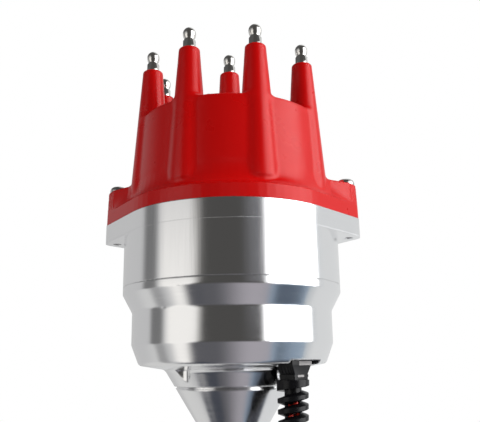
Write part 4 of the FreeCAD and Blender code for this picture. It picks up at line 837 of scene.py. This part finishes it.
# The lead and its connector
def lead_points():
    """The lead's route in metres, the same points as in the part's source."""
    x, y = on_circle(BOOT_CIRCLE, BOOT_ANGLE)
    angle = math.radians(BOOT_ANGLE)
    steps = ((0, 0, 0), (0, 0, -22), (3.5, 1.5, -56), (8.5, 0.5, -98), (9.5, -3.5, -142), (7.5, -5.0, -186),
             (6.5, -4.0, -226))
    points = []
    for out, side, drop in steps:
        points.append(((x + math.cos(angle) * out - math.sin(angle) * side) * MM,
                       (y + math.sin(angle) * out + math.cos(angle) * side) * MM, (TAIL_END_Z + drop) * MM))
    return points


def build_lead(materials):
    """The sleeved lead as one smooth cord, and its connector."""
    points = lead_points()
    data = bpy.data.curves.new("lead", "CURVE")
    data.dimensions = "3D"
    data.bevel_depth = LEAD_RADIUS * MM
    data.bevel_resolution = 6
    data.resolution_u = 24
    data.use_fill_caps = True
    spline = data.splines.new("NURBS")
    spline.points.add(len(points) - 1)
    for control, point in zip(spline.points, points):
        control.co = (*point, 1.0)
    spline.order_u = 3
    spline.use_endpoint_u = True
    data.materials.append(materials["sleeve_black"])
    lead = bpy.data.objects.new("lead", data)
    bpy.context.scene.collection.objects.link(lead)
    stands_for(lead, "root", "sleeve_black", "lead_cable")
    plug = build_connector(materials, points)


def build_connector(materials, points):
    """Three way connector in line with the lead's end. Its boxes hang down from there."""
    end, before = Vector(points[-1]), Vector(points[-2])
    down = (end - before).normalized()
    turn = Vector((0, 0, -1)).rotation_difference(down)
    wire_seal = box_mesh((-11.8, -5.6, -7.0), (11.8, 5.6, -0.02))
    upper_rib = box_mesh((-12.5, -6.0, -9.0), (12.5, 6.0, -7.0))
    body = box_mesh((-12.0, -5.4, -22.0), (12.0, 5.4, -9.0))
    lower_rib = box_mesh((-12.5, -6.0, -24.0), (12.5, 6.0, -22.0))
    mouth = box_mesh((-11.0, -4.9, -34.0), (11.0, 4.9, -24.0))
    latch = box_mesh((-4.0, 5.2, -21.0), (4.0, 6.0, -10.0))
    latch_tongue = box_mesh((-2.0, 4.8, -31.0), (2.0, 5.9, -25.0))
    parts = joined([wire_seal, upper_rib, body, lower_rib, mouth, latch, latch_tongue])
    shell = mesh_from("lead_connector", *parts, False)
    shell.transform(Matrix.Translation(end) @ turn.to_matrix().to_4x4())
    piece = add_object("lead_connector", shell, materials["plug_black"])
    bevel = piece.modifiers.new("edges", "BEVEL")
    bevel.width = 0.35 * MM
    bevel.segments = 2
    return stands_for(piece, "root", "plug_black", "lead_plug")


# Advance springs
def spring_eye(centre, inward, side, radius):
    """Points of an open loop round a pin, with its gap towards the coil."""
    steps = 18
    first, sweep = 20, 320
    points = []
    for step in range(steps + 1):
        angle = math.radians(first + sweep * step / steps)
        points.append(centre + radius * (math.cos(angle) * inward + math.sin(angle) * side))
    return points


def coil_spring(start, end, eye_start, eye_end):
    """One wound spring: an eye, a close coil and an eye."""
    wire_radius, coil_radius = 0.36, 1.6
    turns, steps = 11, 14
    lead_in = 1.4
    start, end = Vector(start), Vector(end)
    along = (end - start).normalized()
    side = along.cross(Vector((0, 0, 1))).normalized()
    up = side.cross(along)
    first = start + along * (eye_start + lead_in)
    last = end - along * (eye_end + lead_in)
    coil = []
    for step in range(turns * steps + 1):
        share = step / (turns * steps)
        angle = 2 * math.pi * step / steps
        coil.append(first.lerp(last, share) + coil_radius * (math.cos(angle) * side + math.sin(angle) * up))
    path = spring_eye(start, along, side, eye_start) + coil + spring_eye(end, -along, side, eye_end)[::-1]
    return tube([tuple(point) for point in path], wire_radius, count=8)


def build_springs(materials):
    """A wound return spring on each side, stretched between the cam's pin and the plate's post."""
    pin = (CAM_PIN_X, 0, SPRING_Z)
    post = (*on_circle(POST_CIRCLE, POST_ANGLE), SPRING_Z)
    pin_eye, post_eye = 2.25, 2.15
    for name, node, turned in (("return_spring_a", "advance_spring_a", 0.0),
                               ("return_spring_b", "advance_spring_b", 180.0)):
        part = placed(coil_spring(pin, post, pin_eye, post_eye), (0, 0, 0), turned)
        piece = add_object(name, mesh_from(name, *part), materials["screw_steel"])
        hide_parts(node)
        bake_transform(piece)


# Stage, light and world
def build_floor():
    """A plain floor, pale for the camera wherever it stands, that keeps the object's shadow."""
    half = FLOOR_HALF
    corners = [(-half, -half, FLOOR_Z), (half, -half, FLOOR_Z), (half, half, FLOOR_Z), (-half, half, FLOOR_Z)]
    mesh = bpy.data.meshes.new("floor")
    mesh.from_pydata(corners, [], [[0, 1, 2, 3]])
    material, tree, shader = new_material("floor_white", (FLOOR_GREY, FLOOR_GREY, FLOOR_GREY), roughness=0.9)
    shader.inputs["Specular IOR Level"].default_value = 0.0
    shader.inputs["Emission Color"].default_value = (1.0, 1.0, 1.0, 1.0)
    path = tree.nodes.new("ShaderNodeLightPath")
    pale = tree.nodes.new("ShaderNodeMath")
    pale.operation = "MULTIPLY"
    pale.inputs[1].default_value = FLOOR_PALE
    tree.links.new(path.outputs["Is Camera Ray"], pale.inputs[0])
    tree.links.new(pale.outputs[0], shader.inputs["Emission Strength"])
    floor = add_object("floor", mesh, material)
    floor.visible_glossy = False


def toward(azimuth, elevation):
    """Direction at an azimuth and elevation. Azimuth 0 is the photograph's side, positive to its right."""
    a, e = math.radians(azimuth + CAMERA_TURN), math.radians(elevation)
    return Vector((math.sin(a) * math.cos(e), -math.cos(a) * math.cos(e), math.sin(e)))


def add_lamp(name, azimuth, elevation, distance, size, watts):
    """A square soft lamp aimed at the middle of the object, at a distance and of a size in metres."""
    away = toward(azimuth, elevation)
    data = bpy.data.lights.new(name, "AREA")
    data.shape = "SQUARE"
    data.size = size
    data.energy = watts
    lamp = bpy.data.objects.new(name, data)
    lamp.location = LAMP_AIM + away * distance
    lamp.rotation_mode = "QUATERNION"
    lamp.rotation_quaternion = away.to_track_quat("Z", "Y")
    lamp.visible_glossy = False
    bpy.context.scene.collection.objects.link(lamp)


class Studio:
    """The room that glossy surfaces see: cards laid over each other, each one with soft edges."""

    def __init__(self, tree, grey):
        self.tree = tree
        place = tree.nodes.new("ShaderNodeTexCoord")
        self.direction = place.outputs["Generated"]
        split = tree.nodes.new("ShaderNodeSeparateXYZ")
        tree.links.new(self.direction, split.inputs[0])
        self.height = split.outputs["Z"]
        self.colour = (grey, grey, grey)

    def fade(self, value, middle, soft):
        """Rises smoothly from 0 to 1 where a value passes its middle; falls where soft is negative."""
        node = self.tree.nodes.new("ShaderNodeMapRange")
        node.interpolation_type = "SMOOTHSTEP"
        node.inputs["From Min"].default_value = middle - soft
        node.inputs["From Max"].default_value = middle + soft
        self.tree.links.new(value, node.inputs["Value"])
        return node.outputs["Result"]

    def side(self, edge, soft, inward):
        """1 on the inner side of an edge, upright at an azimuth or through two points of the sky."""
        below, above = -30.0, 30.0
        low, high = edge if isinstance(edge, tuple) else ((edge, below), (edge, above))
        across = toward(*high).cross(toward(*low)).normalized() * inward
        node = self.tree.nodes.new("ShaderNodeVectorMath")
        node.operation = "DOT_PRODUCT"
        node.inputs[1].default_value = across
        self.tree.links.new(self.direction, node.inputs[0])
        return self.fade(node.outputs["Value"], 0.0, math.sin(math.radians(soft)))

    def level(self, elevation, soft):
        """1 above an elevation, or below it where soft is negative."""
        low, high = (math.sin(math.radians(elevation + part * soft)) for part in (-1, 1))
        return self.fade(self.height, (low + high) / 2, (high - low) / 2)

    def card(self, colour, left=None, right=None, low=None, high=None, soft=4.0, level_soft=3.0):
        """Lay a card of one colour over what is there, between two sides and two levels."""
        shares = []
        if left is not None:
            shares.append(self.side(left, soft, 1))
        if right is not None:
            shares.append(self.side(right, soft, -1))
        if low is not None:
            shares.append(self.level(low, level_soft))
        if high is not None:
            shares.append(self.level(high, -level_soft))
        cover = shares[0]
        for share in shares[1:]:
            node = self.tree.nodes.new("ShaderNodeMath")
            node.operation = "MULTIPLY"
            self.tree.links.new(cover, node.inputs[0])
            self.tree.links.new(share, node.inputs[1])
            cover = node.outputs[0]
        self.colour = blend(self.tree, cover, self.colour, colour)


def furnish(studio):
    """Lay the cards of the room, by azimuth and elevation. Later cards cover earlier ones."""
    # Floor behind on the left, dark ceiling, and the pale wall on the right
    studio.card((0.66, 0.66, 0.65), left=-186, right=-102, low=-72, high=-22, soft=5, level_soft=6)
    studio.card((0.10, 0.10, 0.10), low=27, level_soft=6)
    studio.card((0.72, 0.73, 0.73), left=98, right=187, low=-80, high=80)
    # Dark room behind the camera, and the table in front with its pale right half
    studio.card((0.075, 0.073, 0.070), left=-40, right=42, low=-24, high=70)
    studio.card((0.17, 0.17, 0.18), left=16, right=42, low=4, high=40, soft=8)
    studio.card((0.11, 0.11, 0.12), left=-62, right=62, high=-22)
    studio.card((0.40, 0.38, 0.41), left=2, right=62, high=-24, soft=18)
    # Big soft box on the right, with bluish cards under it
    studio.card((4.0, 4.0, 4.0), left=38, right=98, low=-18, high=38, soft=8, level_soft=5)
    studio.card((0.27, 0.35, 0.44), left=50, right=99, high=-18)
    studio.card((0.10, 0.125, 0.165), left=57, right=99, high=-34)
    studio.card((0.05, 0.05, 0.06), left=74, right=108, high=-46)
    # The dark below the left soft box, and that box, which leans outwards at its foot
    studio.card((0.06, 0.065, 0.08), left=-101, right=-42, high=-49)
    leaning = ((-55, -36), (-33, 12))
    studio.card((0.99, 0.97, 0.93), left=-77, right=leaning, low=-52, high=14, soft=6, level_soft=8)
    # Gaps between the boxes and the walls
    studio.card((0.18, 0.18, 0.18), left=-102, right=-82, low=-18, high=40)
    studio.card((0.33, 0.33, 0.33), left=-102, right=-88, low=-40, high=-18)
    studio.card((0.56, 0.58, 0.59), left=98, right=106, low=-32, high=40)


def build_world():
    """White for the camera and through glass, even soft light on matt surfaces, and the studio for gloss."""
    world = bpy.data.worlds.new("studio")
    bpy.context.scene.world = world
    world.use_nodes = True
    tree = world.node_tree
    studio = Studio(tree, ROOM_GREY)
    furnish(studio)
    path = tree.nodes.new("ShaderNodeLightPath")
    matt = (MATT_LIGHT, MATT_LIGHT, MATT_LIGHT)
    colour = blend(tree, path.outputs["Is Glossy Ray"], matt, studio.colour)
    for ray in ("Is Camera Ray", "Is Transmission Ray"):
        colour = blend(tree, path.outputs[ray], colour, (1.0, 1.0, 1.0))
    tree.links.new(colour, tree.nodes["Background"].inputs["Color"])
    tree.nodes["Background"].inputs["Strength"].default_value = 1.0


def dress_frame(materials):
    """Every CAD node takes the material of its slot in the record, and the upper housing its own finish."""
    for row in frame["record"]["subparts"]:
        node = frame["nodes"][row["node"]]
        finish = "upper_finish" if row["node"] == "upper_housing" else row["material_slot"]
        if not node.material_slots:
            node.data.materials.append(materials[finish])
        for slot in node.material_slots:
            slot.material = materials[finish]


def main():
    place_camera()
    materials = make_materials()
    build_lead(materials)
    dress_frame(materials)
    build_cap(materials)
    build_terminals(materials)
    build_cap_screws(materials)
    build_boot(materials)
    build_springs(materials)
    build_floor()
    add_lamp("key", 70, 20, distance=1.3, size=0.9, watts=23)
    add_lamp("fill", -58, 14, distance=1.4, size=0.9, watts=7)
    add_lamp("front", 4, 6, distance=1.5, size=0.7, watts=3)
    add_lamp("top", 165, 40, distance=1.5, size=1.0, watts=10)
    build_world()
    bpy.context.scene.view_settings.view_transform = "Standard"


main()
